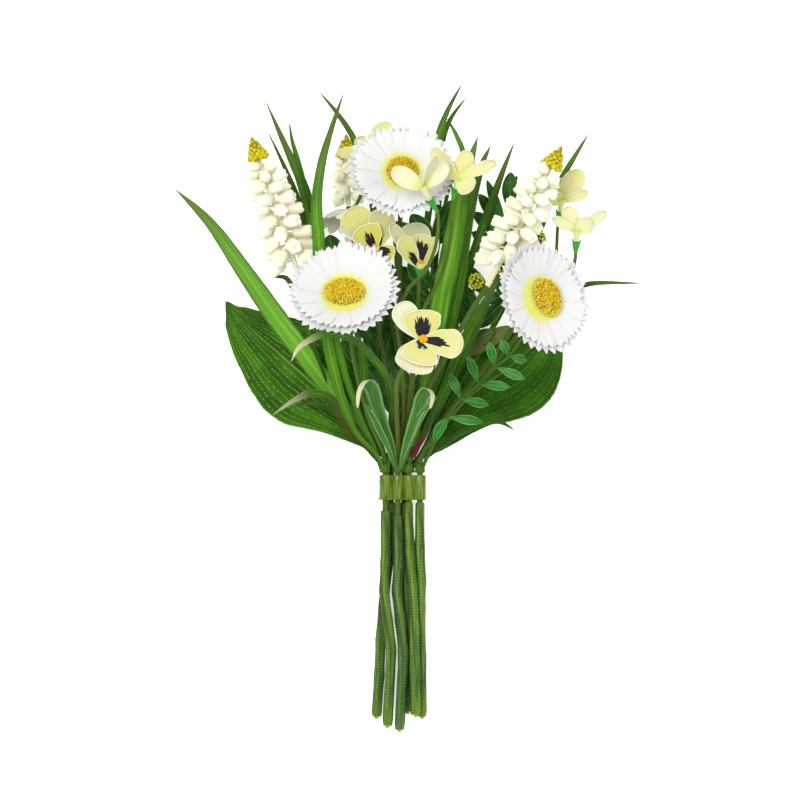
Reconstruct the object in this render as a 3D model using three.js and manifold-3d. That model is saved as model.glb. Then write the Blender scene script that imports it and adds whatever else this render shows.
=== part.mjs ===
// A bunch of artificial daisies with pansies, grape-hyacinth spikes, small star flowers, grass and leaves,
// held by a plastic clip round six stems. It lies on its back.
// Millimetres. The origin is the middle of the clip's flat underside, +Y runs along the stems to the
// flowers, +X to the right and +Z up from the surface.
import * as THREE from "three";
import { mergeVertices } from "three/addons/utils/BufferGeometryUtils.js";
import Module from "manifold-3d";

const wasm = await Module();
wasm.setup();

// ---- driving dimensions --------------------------------------------------------------------------
const BLADE_THICK = 0.8; // grass, leaves and leaflets
const PETAL_THICK = 0.7; // stamped fabric petals
const CORE_RADIUS = 1.45; // the thin stem that runs through the clip
const PLUG_RADIUS = 1.15; // its lower end, inside the thick sleeve
const PLUG_DEPTH = 7;
const SLEEVE_RADIUS = [2.25, 2.6]; // at the clip and at the cut end
const GAP = 0.3; // clearance between pieces that touch
const CLIP = { low: -6.25, high: 6.25, wall: 1.2 };
const COLLAR = { inner: 1.9, outer: 2.65, length: 4.6 };

// Where each stem stands in the clip: across, and up from the surface.
const STEMS = {
  far_left: { x: -5.0, z: 3.2 },
  left: { x: -7.9, z: 8.9 },
  mid_left: { x: -1.6, z: 8.9 },
  back: { x: 1.6, z: 3.2 },
  mid_right: { x: 3.95, z: 8.9 },
  right: { x: 9.5, z: 8.9 },
};

// The thick stem sleeves below the clip, from their mouth to their cut end. They bend a little at each node.
const SLEEVES = {
  far_left: [
    [-5, -7.6, 3.2], [-5, -18, 3.2], [-6.4, -38, 3.1], [-8.8, -58, 3], [-10.3, -76, 3], [-11, -95, 3],
    [-12.4, -115, 3.1],
  ],
  left: [
    [-7.9, -11.5, 8.9], [-7.9, -22, 8.9], [-8, -38, 8.7], [-8.6, -52, 8.5], [-6.6, -67, 8.4],
    [-4.9, -81.5, 8.4], [-6.8, -119.5, 8.2],
  ],
  mid_left: [
    [-1.6, -14, 8.9], [-1.6, -24, 8.9], [-1.2, -38, 9], [-2.2, -52, 9], [-0.5, -67, 9],
    [1.2, -83.5, 9], [-0.8, -121.5, 8.8],
  ],
  back: [
    [1.6, -7.6, 3.2], [1.6, -18, 3.2], [1.8, -38, 3.1], [2.5, -60, 3.1], [3.3, -85, 3.1],
    [3.5, -112.5, 3.1],
  ],
  mid_right: [
    [3.95, -7.6, 8.9], [3.95, -18, 9], [4.7, -32, 9.2], [5.6, -48.5, 9.3], [6.6, -71, 9.5],
    [6.9, -91, 9.5], [7.4, -114, 9.3],
  ],
  right: [
    [9.5, -7.6, 8.9], [9.5, -18, 8.7], [9.5, -30, 8], [10.2, -47, 7], [9.8, -61, 5.6], [10, -86, 4.6],
    [10.5, -115, 4.2],
  ],
};

// The flower heads: middle of the head, the way it faces, and its size. Oval squeezes the disc.
const DAISIES = {
  left: {
    at: [-28, 96.4, 70], faces: [-0.1, 0.57, 0.82],
    radius: 26.5, disc: 10, dome: 10.1, oval: [1, 0.78], petals: 10, cup: 5, seed: 3,
  },
  top: {
    at: [0.5, 157, 66], faces: [0.05, 0.42, 0.9],
    radius: 25.5, disc: 8.6, petals: 10, cup: 4, seed: 11,
  },
  right: {
    at: [69.5, 94.2, 60], faces: [0.56, 0.18, 0.81],
    radius: 27.5, disc: 10, dome: 10.1, oval: [0.82, 1], petals: 10, cup: 5, seed: 23,
  },
  nodding: {
    at: [-25, 137, 28], faces: [-0.45, -0.85, 0.28],
    radius: 12, disc: 4, dome: 2.4, petals: 7, cup: 10, layers: 1, seed: 31,
  },
};
// The petals of the pansies and star flowers. Root and tip are measured from the head's place, half is
// half the width, and tilt turns a petal on its own length. A pansy's place is the middle of its face.
const PANSIES = {
  front: {
    at: [11, 74, 84],
    faces: [-0.05, 0.1, 1],
    petals: [
      { root: [-1.2, 0.5, 0], tip: [-12.5, 19, 2.5], half: 6.8 },
      { root: [-0.4, 0.4, 0], tip: [-6, -17, 0], half: 10.3 },
      { root: [0, 0.5, 0.9], tip: [-0.8, 15.6, 2.5], half: 10 },
      { root: [0.5, 0.5, 0.9], tip: [-3, -12.5, 3], half: 9.6 },
      { root: [-0.5, 0.1, 1.9], tip: [20.5, -3, 2.5], half: 7.4 },
    ],
  },
  middle: {
    at: [9.5, 110.5, 52],
    faces: [0.05, 0.8, 0.6],
    petals: [
      { root: [0, 0.5, -0.5], tip: [-4, 20.5, -3], half: 8.4 },
      { root: [-1, 0.5, 0], tip: [-14.5, 20, 0], half: 4, tilt: 35 },
      { root: [0, 0.5, 0.4], tip: [1.3, 15.5, 1], half: 6.2 },
      { root: [-0.8, 0, 0.9], tip: [-9.5, 13.5, 5], half: 5, tilt: 20 },
      { root: [0.8, 0, 0.9], tip: [9, 13, 5], half: 5.5, tilt: -55 },
    ],
  },
  left: {
    at: [-12, 119, 50],
    faces: [-0.4, 0.65, 0.65],
    petals: [
      { root: [0, 1, -0.3], tip: [-13.8, 19, -1], half: 8.5 },
      { root: [0.6, 1, 0], tip: [3, 19, 0], half: 7 },
      { root: [-1, 0, 0.9], tip: [-6.8, 11.5, 4.5], half: 7.6 },
      { root: [-1, 0, 1.4], tip: [-18, 9.7, 5], half: 4.4, tilt: 60 },
      { root: [0.6, 0.3, 1.8], tip: [8.5, -3, 6], half: 4.5 },
    ],
  },
};
const HYACINTHS = {
  left: { foot: [-50, 103, 34], tip: [-75, 176, 44], bells: 18, reach: 14.5, seed: 5 },
  back: { foot: [-26.5, 142, 13], tip: [-27.5, 178, 21], bells: 8, reach: 9.5, seed: 9 },
  right: { foot: [43, 101, 52], tip: [80.5, 171, 60], bells: 18, reach: 13.5, seed: 15 },
};
// The small star flowers: the foot of the flower tube, the way it faces, the tube's length, and the petals.
const STARS = {
  back_left: {
    at: [-13, 160, 42],
    faces: [-0.35, 0.7, 0.3],
    tube: 9,
    petals: [
      { root: [-3.5, 7, 3], tip: [8.5, 21.5, 4], half: 4.2 },
      { root: [-4, 7, 3], tip: [-17.5, 5.5, 6], half: 3.6, tilt: 30 },
      { root: [-4, 7.3, 3], tip: [-6.5, 15, 5], half: 4 },
      { root: [-3.5, 7, 3], tip: [5, 12, 2], half: 3.5 },
    ],
  },
  over_daisy: {
    at: [14.5, 143, 88],
    faces: [-0.45, 0.75, 0.4],
    tube: 9,
    petals: [
      { root: [-3.6, 6, 3.5], tip: [-20, 15, 5], half: 6.2 },
      { root: [-3.4, 6.6, 3.5], tip: [2, 22.5, 6], half: 5, tilt: 65 },
      { root: [-3.4, 6.4, 3], tip: [8, 18.5, -1], half: 5 },
    ],
  },
  beside_daisy: {
    at: [27, 149, 76],
    faces: [0.15, 0.7, 0.6],
    tube: 8,
    petals: [
      { root: [0.6, 5, 4.6], tip: [-11, 20, 6], half: 4.6, bow: 1.5, tilt: -20 },
      { root: [1.4, 5.6, 4.8], tip: [6.5, 18.5, 5], half: 4.6 },
      { root: [1.6, 5.6, 4.8], tip: [20.5, 13, 7], half: 3.2, bow: 2 },
      { root: [1.4, 5, 5], tip: [8.5, -1, 9], half: 5.4 },
      { root: [0.6, 5, 4.8], tip: [-5.5, 10, 8], half: 3 },
    ],
  },
  right_high: {
    at: [79.5, 138, 39.5],
    faces: [0.12, 0.85, 0.5],
    tube: 8,
    petals: [
      { root: [0.8, 5, 3.4], tip: [10.5, 21, 4], half: 5.8, tilt: -15 },
      { root: [0, 4, 4], tip: [-4, 8.5, 7], half: 4.2 },
      { root: [1, 5.4, 3.6], tip: [14, 10, 6], half: 2.9 },
      { root: [0.6, 5.4, 2.8], tip: [2, 17, 1], half: 4 },
    ],
  },
  right_low: {
    at: [87.5, 123, 50],
    faces: [0.05, 0.9, 0.4],
    tube: 7,
    petals: [
      { root: [0, 5, 2.4], tip: [-12, 12, 4], half: 2.6 },
      { root: [0, 5.4, 2.4], tip: [-5, 17.5, 3], half: 4.4 },
      { root: [0.6, 5.4, 2.6], tip: [15, 15, 5], half: 3, bow: 1.5 },
      { root: [0.6, 4.6, 3], tip: [7.5, 10.5, 6], half: 4.6 },
    ],
  },
};

const vector = (p) => new THREE.Vector3(...p);
const curve = (points) => new THREE.CatmullRomCurve3(points.map(vector));
const mix = (a, b, t) => a + (b - a) * t;
const turns = (n) => Array.from({ length: n }, (_, i) => (i / n) * 2 * Math.PI);

// The same run of numbers from 0 to 1 each time, for the small differences between like pieces.
function seeded(seed) {
  let state = seed;
  return () => (state = (state * 1664525 + 1013904223) % 4294967296) / 4294967296;
}

// ---- solids --------------------------------------------------------------------------------------
function geometryOf(points, triangles) {
  const geometry = new THREE.BufferGeometry();
  const flat = points.flatMap((p) => [p.x, p.y, p.z]);
  geometry.setAttribute("position", new THREE.Float32BufferAttribute(flat, 3));
  geometry.setIndex(triangles.flat());
  return geometry;
}

function solid(geometry) {
  const bare = new THREE.BufferGeometry().setAttribute("position", geometry.getAttribute("position"));
  if (geometry.index) bare.setIndex(geometry.index);
  const merged = mergeVertices(bare, 1e-4);
  const mesh = new wasm.Mesh({
    numProp: 3,
    vertProperties: merged.attributes.position.array,
    triVerts: new Uint32Array(merged.index.array),
  });
  return new wasm.Manifold(mesh);
}

function geometryFrom(made) {
  const mesh = made.getMesh();
  const geometry = new THREE.BufferGeometry();
  geometry.setAttribute("position", new THREE.BufferAttribute(mesh.vertProperties.slice(), 3));
  geometry.setIndex(new THREE.BufferAttribute(mesh.triVerts.slice(), 1));
  return geometry;
}

// Joins closed geometries that cross into one solid, and cuts others out of it.
function fuse(parts, cuts = []) {
  let made = solid(parts[0]);
  for (const part of parts.slice(1)) made = made.add(solid(part));
  for (const cut of cuts) made = made.subtract(solid(cut));
  return geometryFrom(made);
}

// A closed blade: a sheet given half its thickness to each side, with both faces split alike.
function thicken(points, triangles, thickness) {
  const normals = points.map(() => new THREE.Vector3());
  for (const [a, b, c] of triangles) {
    const side = points[b].clone().sub(points[a]);
    const face = side.cross(points[c].clone().sub(points[a]));
    for (const i of [a, b, c]) normals[i].add(face);
  }
  normals.forEach((n) => n.normalize().multiplyScalar(thickness / 2));
  const under = points.length;
  const over = points.map((p, i) => p.clone().add(normals[i]));
  const both = [...over, ...points.map((p, i) => p.clone().sub(normals[i]))];
  const faces = [];
  const edges = new Set();
  for (const [a, b, c] of triangles) {
    faces.push([a, b, c], [under + a, under + c, under + b]);
    for (const [i, j] of [[a, b], [b, c], [c, a]]) edges.add(`${i},${j}`);
  }
  for (const edge of edges) {
    const [i, j] = edge.split(",").map(Number);
    if (!edges.has(`${j},${i}`)) faces.push([under + i, under + j, j], [under + i, j, i]);
  }
  return geometryOf(both, faces);
}

function gridTriangles(rows, columns) {
  const triangles = [];
  for (let r = 0; r < rows - 1; r++) {
    for (let c = 0; c < columns - 1; c++) {
      const a = r * columns + c;
      triangles.push([a, a + 1, a + columns + 1], [a, a + columns + 1, a + columns]);
    }
  }
  return triangles;
}

// Places along a route, each with the way on, the way up and the way right; the way up is carried along.
function frames(points, steps, up = [0, 0, 1]) {
  const route = curve(points);
  const made = [];
  let normal = vector(up);
  for (let i = 0; i <= steps; i++) {
    const on = route.getTangent(i / steps);
    normal = normal.clone().addScaledVector(on, -normal.dot(on)).normalize();
    const right = on.clone().cross(normal);
    made.push({ at: route.getPoint(i / steps), on, up: normal, right, t: i / steps });
  }
  return made;
}

// A closed tube along a route; radius is a function of the share of the way along.
function tube(points, radius, sides = 6, steps = (points.length - 1) * 2) {
  const rings = frames(points, steps, [0.3, 0.1, 1]);
  const made = [];
  const triangles = [];
  for (const f of rings) {
    for (const angle of turns(sides)) {
      const r = radius(f.t);
      const out = f.right.clone().multiplyScalar(r * Math.cos(angle));
      made.push(out.addScaledVector(f.up, r * Math.sin(angle)).add(f.at));
    }
  }
  for (let i = 0; i < steps; i++) {
    for (let k = 0; k < sides; k++) {
      const a = i * sides + k;
      const b = i * sides + ((k + 1) % sides);
      triangles.push([a, b + sides, b], [a, a + sides, b + sides]);
    }
  }
  const last = steps * sides;
  for (let k = 1; k < sides - 1; k++) triangles.push([0, k, k + 1], [last, last + k + 1, last + k]);
  return geometryOf(made, triangles);
}

const even = (from, to) => (t) => mix(from, to, t);

// A grass blade or strap leaf, folded along its middle. It is widest at the share called peak.
function blade({ points, width, root = 1.5, peak = 0.5, fold = 0.14, up, steps = 6, blunt = 0 }) {
  const rows = [];
  for (const f of frames(points, steps, up)) {
    const rise = Math.sin((Math.min(f.t / peak, 1) * Math.PI) / 2) ** 1.4;
    const fall = Math.max(0, (f.t - peak) / (1 - peak));
    const wide = mix(root, width, rise) * (1 - (1 - blunt) * fall ** 1.7) + 0.5 * fall;
    rows.push(
      f.at.clone().addScaledVector(f.right, -wide / 2),
      f.at.clone().addScaledVector(f.up, -fold * wide),
      f.at.clone().addScaledVector(f.right, wide / 2),
    );
  }
  return thicken(rows, gridTriangles(steps + 1, 3), BLADE_THICK);
}

// A ring that slides on a stem, from which a tuft of leaves grows.
function collarAt([x, y, z], outer = COLLAR.outer) {
  const place = (r, from, to) =>
    new THREE.CylinderGeometry(r, r, to - from, 7).translate(x, (from + to) / 2, z);
  const end = y + COLLAR.length;
  return { body: place(outer, y, end), bore: place(COLLAR.inner, y - 1, end + 1) };
}

// A tuft: a collar and the blades that grow from its wall, in one piece.
function tuft(stem, low, blades) {
  const { x, z } = STEMS[stem];
  const collar = collarAt([x, low, z]);
  return fuse([collar.body, ...blades.map(blade)], [collar.bore]);
}

// The turn and move that puts a head made round the origin, facing +Z, in its place.
function headPlace({ at, faces, roll = 0 }) {
  const face = vector(faces).normalize();
  const right = new THREE.Vector3(0, 1, 0).cross(face);
  if (right.length() < 0.2) right.set(1, 0, 0).addScaledVector(face, -face.x);
  right.normalize();
  const basis = new THREE.Matrix4().makeBasis(right, face.clone().cross(right), face);
  const turn = new THREE.Matrix4().makeRotationZ(THREE.MathUtils.degToRad(roll));
  return basis.multiply(turn).setPosition(...at);
}

function behind(head, distance) {
  const face = vector(head.faces).normalize();
  return vector(head.at).addScaledVector(face, -distance).toArray();
}

// A round solid about +Z from a half outline of [radius, height], bottom to top.
function turned(outline, sides) {
  const profile = outline.map(([r, z]) => new THREE.Vector2(r, z));
  return new THREE.LatheGeometry(profile, sides).rotateX(Math.PI / 2);
}

// ---- flowers -------------------------------------------------------------------------------------
const LAYER_STEP = 1; // how far the upper layer of a head stands above the lower one

// One stamped layer of daisy petals. Each petal ends in two teeth.
function daisyLayer(head, upper) {
  const random = seeded(head.seed + (upper ? 100 : 0));
  const radius = head.radius * (upper ? 0.88 : 1);
  const count = head.petals;
  const pitch = (2 * Math.PI) / count;
  const root = head.disc * 0.8;
  const lift = head.cup + (upper ? 3.2 : 0);
  const step = upper ? LAYER_STEP : 0;
  const height = (r) => lift * Math.max(0, (r - head.disc) / (radius - head.disc)) ** 1.2 + step;
  const points = [new THREE.Vector3(0, 0, height(0))];
  const triangles = [];
  const put = (r, angle, raise = 0) =>
    points.push(new THREE.Vector3(r * Math.cos(angle), r * Math.sin(angle), height(r) + raise)) - 1;
  const teeth = [[-0.46, 0.9], [-0.25, 1], [0, 0.93], [0.25, 1.01], [0.46, 0.9]];
  let first = null;
  let before = null;
  for (let i = 0; i < count; i++) {
    const middle = (i + (upper ? 0.5 : 0)) * pitch;
    const sway = (random() - 0.5) * 1.6;
    const reach = radius * (0.96 + 0.08 * random());
    const a = [put(root, middle - 0.4 * pitch), put(root, middle + 0.4 * pitch)];
    const halfway = mix(head.disc, reach, 0.5);
    const b = [-0.42, 0, 0.42].map((s) => put(halfway, middle + s * pitch, s ? 0 : 0.5 + sway * 0.3));
    const c = teeth.map(([s, share]) => put(reach * share, middle + s * pitch, sway));
    triangles.push([0, a[0], a[1]], [a[0], b[0], b[1]], [a[0], b[1], a[1]], [a[1], b[1], b[2]]);
    triangles.push([b[0], c[0], c[1]], [b[0], c[1], b[1]], [b[1], c[1], c[2]]);
    triangles.push([b[1], c[2], c[3]], [b[1], c[3], b[2]], [b[2], c[3], c[4]]);
    if (before !== null) triangles.push([0, before, a[0]]);
    else first = a[0];
    before = a[1];
  }
  triangles.push([0, before, first]);
  return thicken(points, triangles, PETAL_THICK).applyMatrix4(headPlace(head));
}

// The domed yellow middle of a daisy, with its florets as waves on the dome.
function daisyDisc(head) {
  const base = (head.layers === 1 ? 0 : LAYER_STEP) + PETAL_THICK / 2 + GAP + 0.15;
  const r = head.dome ?? head.disc * 0.93;
  const outline = [[0, 0], [r * 0.86, 0], [r, 0.9], [r * 0.9, r * 0.24], [r * 0.55, r * 0.4], [0, r * 0.46]];
  const geometry = turned(outline, 12);
  const place = geometry.getAttribute("position");
  for (let i = 0; i < place.count; i++) {
    const [x, y, z] = [place.getX(i), place.getY(i), place.getZ(i)];
    const out = Math.hypot(x, y);
    const wave = z > 0.5 && out > 0.1 ? 0.35 * Math.cos(6 * Math.atan2(y, x)) : 0;
    place.setXYZ(i, x, y, z + wave);
  }
  const [across, along] = head.oval ?? [1, 1];
  return geometry.scale(across, along, 1).translate(0, 0, base).applyMatrix4(headPlace(head));
}

// The green cup under a head, on top of its stalk.
function calyx(head, radius, length) {
  const top = -(PETAL_THICK / 2 + GAP);
  const foot = top - length;
  const outline = [[0, foot], [1.1, foot], [radius * 0.75, top - length * 0.35], [radius, top], [0, top]];
  return turned(outline, 6).applyMatrix4(headPlace(head));
}

// Where a point of a petal lies, from the share of the way to its tip and how far across it is.
function petalPlace({ root, tip, half, tilt = 0, bow = 0 }) {
  const from = vector(root);
  const run = vector(tip).sub(from);
  const on = run.clone().normalize();
  const out = new THREE.Vector3(0, 0, 1).addScaledVector(on, -on.z).normalize();
  out.applyAxisAngle(on, THREE.MathUtils.degToRad(tilt));
  const right = on.clone().cross(out);
  return (share, side, wide) => {
    const raise = 4 * bow * share * (1 - share) + 1.1 * side * side * share;
    const middle = from.clone().addScaledVector(run, share);
    return middle.addScaledVector(right, side * wide * half).addScaledVector(out, raise);
  };
}

// A rounded pansy petal.
function pansyPetal(petal) {
  const place = petalPlace(petal);
  const rows = [[0.06, 0.26], [0.42, 0.8], [0.8, 1], [1, 0.5]];
  const points = rows.flatMap(([share, wide]) => [-1, 0, 1].map((side) => place(share, side, wide)));
  return thicken(points, gridTriangles(rows.length, 3), PETAL_THICK);
}

// A pansy: its petals on a small hub.
function pansyPetals(head) {
  const hub = turned([[0, -0.35], [2.2, -0.35], [2.2, 2.5], [0, 2.5]], 5).applyMatrix4(headPlace(head));
  return fuse([hub, ...head.petals.map((petal) => pansyPetal(petal).translate(...head.at))]);
}

function pansyEye(head) {
  const base = 2.75 + GAP;
  const outline = [[0, base], [1.6, base], [2.1, base + 0.8], [1.4, base + 1.7], [0, base + 2]];
  return turned(outline, 6).applyMatrix4(headPlace(head));
}

// One nodding bell of a hyacinth spike, its foot at the origin, opening towards +Z.
const bell = (length) => turned([[0, -0.4], [3, length * 0.6], [2.6, length], [0, length * 0.95]], 5);

const SPIKE_TIP = 13; // length of the closed yellow buds at the end of a spike

function spikeAxis({ foot, tip }) {
  const from = vector(foot);
  const on = vector(tip).sub(from);
  const length = on.length();
  on.normalize();
  const side = new THREE.Vector3(0, 0, 1).cross(on).normalize();
  return { from, on, length, side, front: on.clone().cross(side) };
}

// The cream stalk and bells of a spike. The bells sit round it in a spiral and shorten towards the tip.
function spikeBells(spike) {
  const random = seeded(spike.seed);
  const { from, on, length, side, front } = spikeAxis(spike);
  const bare = length - SPIKE_TIP;
  const end = from.clone().addScaledVector(on, bare - GAP);
  const parts = [tube([from.toArray(), end.toArray()], even(1.6, 1.2), 6, 1)];
  const start = spike.bells > 10 ? 0.22 : 0.16;
  for (let i = 0; i < spike.bells; i++) {
    const share = i / (spike.bells - 1);
    const place = from.clone().addScaledVector(on, bare * mix(start, spike.bells > 10 ? 0.9 : 0.72, share));
    const angle = i * 2.4 + random() * 0.4;
    const out = side.clone().multiplyScalar(Math.cos(angle)).addScaledVector(front, Math.sin(angle));
    out.addScaledVector(on, mix(-0.35, 0.35, share)).normalize();
    const turn = new THREE.Quaternion().setFromUnitVectors(new THREE.Vector3(0, 0, 1), out);
    const size = spike.reach * mix(1, 0.6, share * share);
    parts.push(bell(size).applyQuaternion(turn).translate(place.x, place.y, place.z));
  }
  return fuse(parts);
}

// The closed buds at the tip of a spike: a cone whose surface is raised bud by bud.
function spikeTip(spike) {
  const { from, on, length } = spikeAxis(spike);
  const rows = 5;
  const sides = 8;
  const outline = [[0, 0]];
  for (let i = 0; i < rows; i++) {
    const share = i / (rows - 1);
    outline.push([mix(5.2, 1.4, share), SPIKE_TIP * mix(0.04, 0.92, share)]);
  }
  outline.push([0, SPIKE_TIP]);
  const geometry = turned(outline, sides);
  const place = geometry.getAttribute("position");
  for (let i = 0; i < place.count; i++) {
    const [x, y, z] = [place.getX(i), place.getY(i), place.getZ(i)];
    const row = Math.round((z / SPIKE_TIP) * 4.6);
    const puff = 1 + 0.16 * Math.cos(4 * Math.atan2(y, x) + row * Math.PI);
    place.setXYZ(i, x * puff, y * puff, z);
  }
  const turn = new THREE.Quaternion().setFromUnitVectors(new THREE.Vector3(0, 0, 1), on);
  const seat = from.clone().addScaledVector(on, length - SPIKE_TIP);
  return geometry.applyQuaternion(turn).translate(seat.x, seat.y, seat.z);
}

// A star flower: a slim tube that opens into spread petals.
function starFlower(star) {
  const long = star.tube;
  const outline = [[0, 0], [1.2, 0], [1.6, long * 0.5], [2.8, long], [0, long * 0.9]];
  const parts = [turned(outline, 6).applyMatrix4(headPlace(star))];
  const faces = [[0, 3, 2], [0, 1, 3], [1, 4, 3], [2, 3, 5], [3, 4, 5]];
  for (const petal of star.petals) {
    const place = petalPlace(petal);
    const corners = [[0, -1, 0.3], [0, 1, 0.3], [0.55, -1, 1], [0.55, 0, 1], [0.55, 1, 1], [1, 0, 0]];
    const points = corners.map((corner) => place(...corner));
    parts.push(thicken(points, faces, PETAL_THICK).translate(...star.at));
  }
  return fuse(parts);
}


function starCup(star) {
  const outline = [[0, -7 - GAP], [0.9, -7 - GAP], [1.9, -2], [1.7, -GAP], [0, -GAP]];
  return turned(outline, 6).applyMatrix4(headPlace(star));
}

// ---- stems ---------------------------------------------------------------------------------------
const group = new THREE.Group();

function add(name, geometry, color, roughness = 0.6) {
  const mesh = new THREE.Mesh(geometry, new THREE.MeshStandardMaterial({ color, roughness, metalness: 0 }));
  mesh.name = name;
  group.add(mesh);
}
const COLORS = {
  clip: 0x6b8f2a, sleeve: 0x4f7d33, stalk: 0x5c8a34, grass: 0x4f9a1e, dark: 0x2f6f2c, leaf: 0x2f6410,
  white: 0xf4f4f0, yellow: 0xf2c40f, cream: 0xefeccb, pansy: 0xe9e79b, lime: 0xc9cc2a,
};

// The core of one pick, from its plug in the sleeve to the crown, and the stalks that branch from it.
function stalks(stem, crown, branches, cups) {
  const { x, z } = STEMS[stem];
  const mouth = SLEEVES[stem][0][1];
  const plug = tube([[x, mouth - PLUG_DEPTH, z], [x, mouth + 0.5, z]], even(PLUG_RADIUS, PLUG_RADIUS), 8, 1);
  const core = tube([[x, mouth + GAP, z], [x, crown, z]], even(CORE_RADIUS, CORE_RADIUS), 8, 1);
  const tubes = branches.map(({ points, from = 1.2, to = 0.9 }) =>
    tube(points, even(from, to), 5, points.length - 1),
  );
  return fuse([plug, core, ...tubes, ...cups]);
}

// A thick sleeve with a socket for the core and a small nub of the core at its cut end.
function sleeve(stem) {
  const points = SLEEVES[stem];
  const [x, mouth, z] = points[0];
  const last = vector(points.at(-1));
  const way = last.clone().sub(vector(points.at(-2))).normalize();
  const tip = last.clone().addScaledVector(way, 1.6);
  const nub = tube([last.clone().addScaledVector(way, -3).toArray(), tip.toArray()], even(1.2, 0.9), 5, 1);
  const body = tube(points, (t) => mix(...SLEEVE_RADIUS, t), 6, points.length - 1);
  const socket = tube([[x, mouth - PLUG_DEPTH - 0.6, z], [x, mouth + 2, z]], even(1.5, 1.5), 7, 1);
  return fuse([body, nub], [socket]);
}

for (const stem of Object.keys(STEMS)) add(`sleeve_${stem}`, sleeve(stem), COLORS.sleeve, 0.7);

add("stalks_left", stalks("left", 14, [
  { points: [
      [-7.9, 12.5, 8.9], [-9, 18, 13], [-12.5, 27, 21], [-18, 42, 31], [-23, 62, 43],
      behind(DAISIES.left, 14), behind(DAISIES.left, 8),
    ], from: 1.4, to: 1.2 },
], [calyx(DAISIES.left, 6, 9)]), COLORS.stalk);

add("stalks_front", stalks("mid_left", 17, [
  { points: [
      [-1.4, 15, 9], [-1.5, 24, 19], [-2.2, 42, 38], [-1, 56, 58], behind(PANSIES.front, 10),
      behind(PANSIES.front, 4),
    ], from: 1.4, to: 1.1 },
  { points: [
      [-0.9, 15, 9], [1.6, 28, 17], [5, 52, 31], [8, 80, 41], behind(PANSIES.middle, 12),
      behind(PANSIES.middle, 4),
    ] },
  { points: [
      [-1.8, 15, 9], [-4, 34, 17], [-8, 62, 30], [-12, 92, 42], behind(PANSIES.left, 12),
      behind(PANSIES.left, 4),
    ] },
  { points: [
      [-1.2, 15, 9], [1.2, 34, 22], [0.5, 62, 42], [-2, 84, 56], [3.5, 99, 67], [12, 108, 75],
      [17.5, 122, 83], behind(STARS.over_daisy, 8), behind(STARS.over_daisy, 4),
    ], from: 1.1, to: 0.8 },
  { points: [
      [-1, 15, 9], [0.6, 24, 14.5], [4, 38, 23], [7.5, 66, 40], [10, 86, 54], [20, 106, 66],
      [24.5, 124, 70], behind(STARS.beside_daisy, 9), behind(STARS.beside_daisy, 4),
    ], from: 1.1, to: 0.8 },
], [
  calyx(PANSIES.front, 3.6, 5),
  calyx(PANSIES.middle, 2.8, 5),
  calyx(PANSIES.left, 2.8, 5),
  starCup(STARS.over_daisy),
  starCup(STARS.beside_daisy),
]), COLORS.stalk);

add("stalks_back", stalks("back", 25, [
  { points: [
      [1.6, 23, 3.2], [1, 40, 8], [0, 68, 17], [-0.5, 98, 27], [-0.5, 126, 38.5],
      behind(DAISIES.top, 13), behind(DAISIES.top, 8),
    ], from: 1.4, to: 1.2 },
  { points: [
      [1.6, 23, 3.2], [-2, 42, 5.5], [-9, 72, 7.5], [-18, 104, 9], [-25, 128, 11],
      [-26.45, 141.35, 12.8],
    ], from: 1.2, to: 1.2 },
  { points: [
      [0.6, 50, 11], [-4, 80, 19], [-9, 108, 24], [-12, 132, 26], [-15, 147, 26], [-18.5, 150, 25.5],
      behind(DAISIES.nodding, 9), behind(DAISIES.nodding, 5),
    ], from: 1, to: 0.9 },
  { points: [
      [0.2, 66, 16], [-1.5, 96, 22], [-4, 130, 32], behind(STARS.back_left, 9),
      behind(STARS.back_left, 4),
    ], from: 1, to: 0.8 },
], [calyx(DAISIES.top, 6, 9), calyx(DAISIES.nodding, 3.4, 5), starCup(STARS.back_left)]), COLORS.stalk);

add("stalks_mid_right", stalks("mid_right", 20, [
  { points: [
      [3.95, 19.2, 8.9], [3.3, 23.6, 14], [4.4, 31, 22.5], [12, 47, 32], [21, 64, 40], [36, 90, 50],
      [43, 101 - GAP, 52],
    ], from: 1.3, to: 1.4 },
], []), COLORS.stalk);

add("stalks_right", stalks("right", 14, [
  { points: [
      [9.1, 12.5, 8.9], [14, 24, 13], [27, 42, 19], [43, 62, 26], [56, 80, 35],
      behind(DAISIES.right, 14), behind(DAISIES.right, 8),
    ], from: 1.4, to: 1.2 },
  { points: [
      [14, 24, 13], [26, 38, 14], [48, 64, 18], [70, 90, 26], [84, 106, 33],
      behind(STARS.right_low, 9), behind(STARS.right_low, 4),
    ], from: 1.1, to: 0.8 },
  { points: [
      [70, 90, 26], [77, 112, 33], behind(STARS.right_high, 9), behind(STARS.right_high, 4),
    ], from: 0.9, to: 0.8 },
], [calyx(DAISIES.right, 6, 9), starCup(STARS.right_low), starCup(STARS.right_high)]), COLORS.stalk);

add("stalks_far_left", stalks("far_left", 22, [
  { points: [
      [-5, 20, 3.2], [-8, 30, 6], [-15, 46, 12], [-26, 70, 20], [-38, 90, 26.5], [-49.5, 102.2, 33.7],
    ], from: 1.4, to: 1.5 },
], []), COLORS.stalk);

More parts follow.
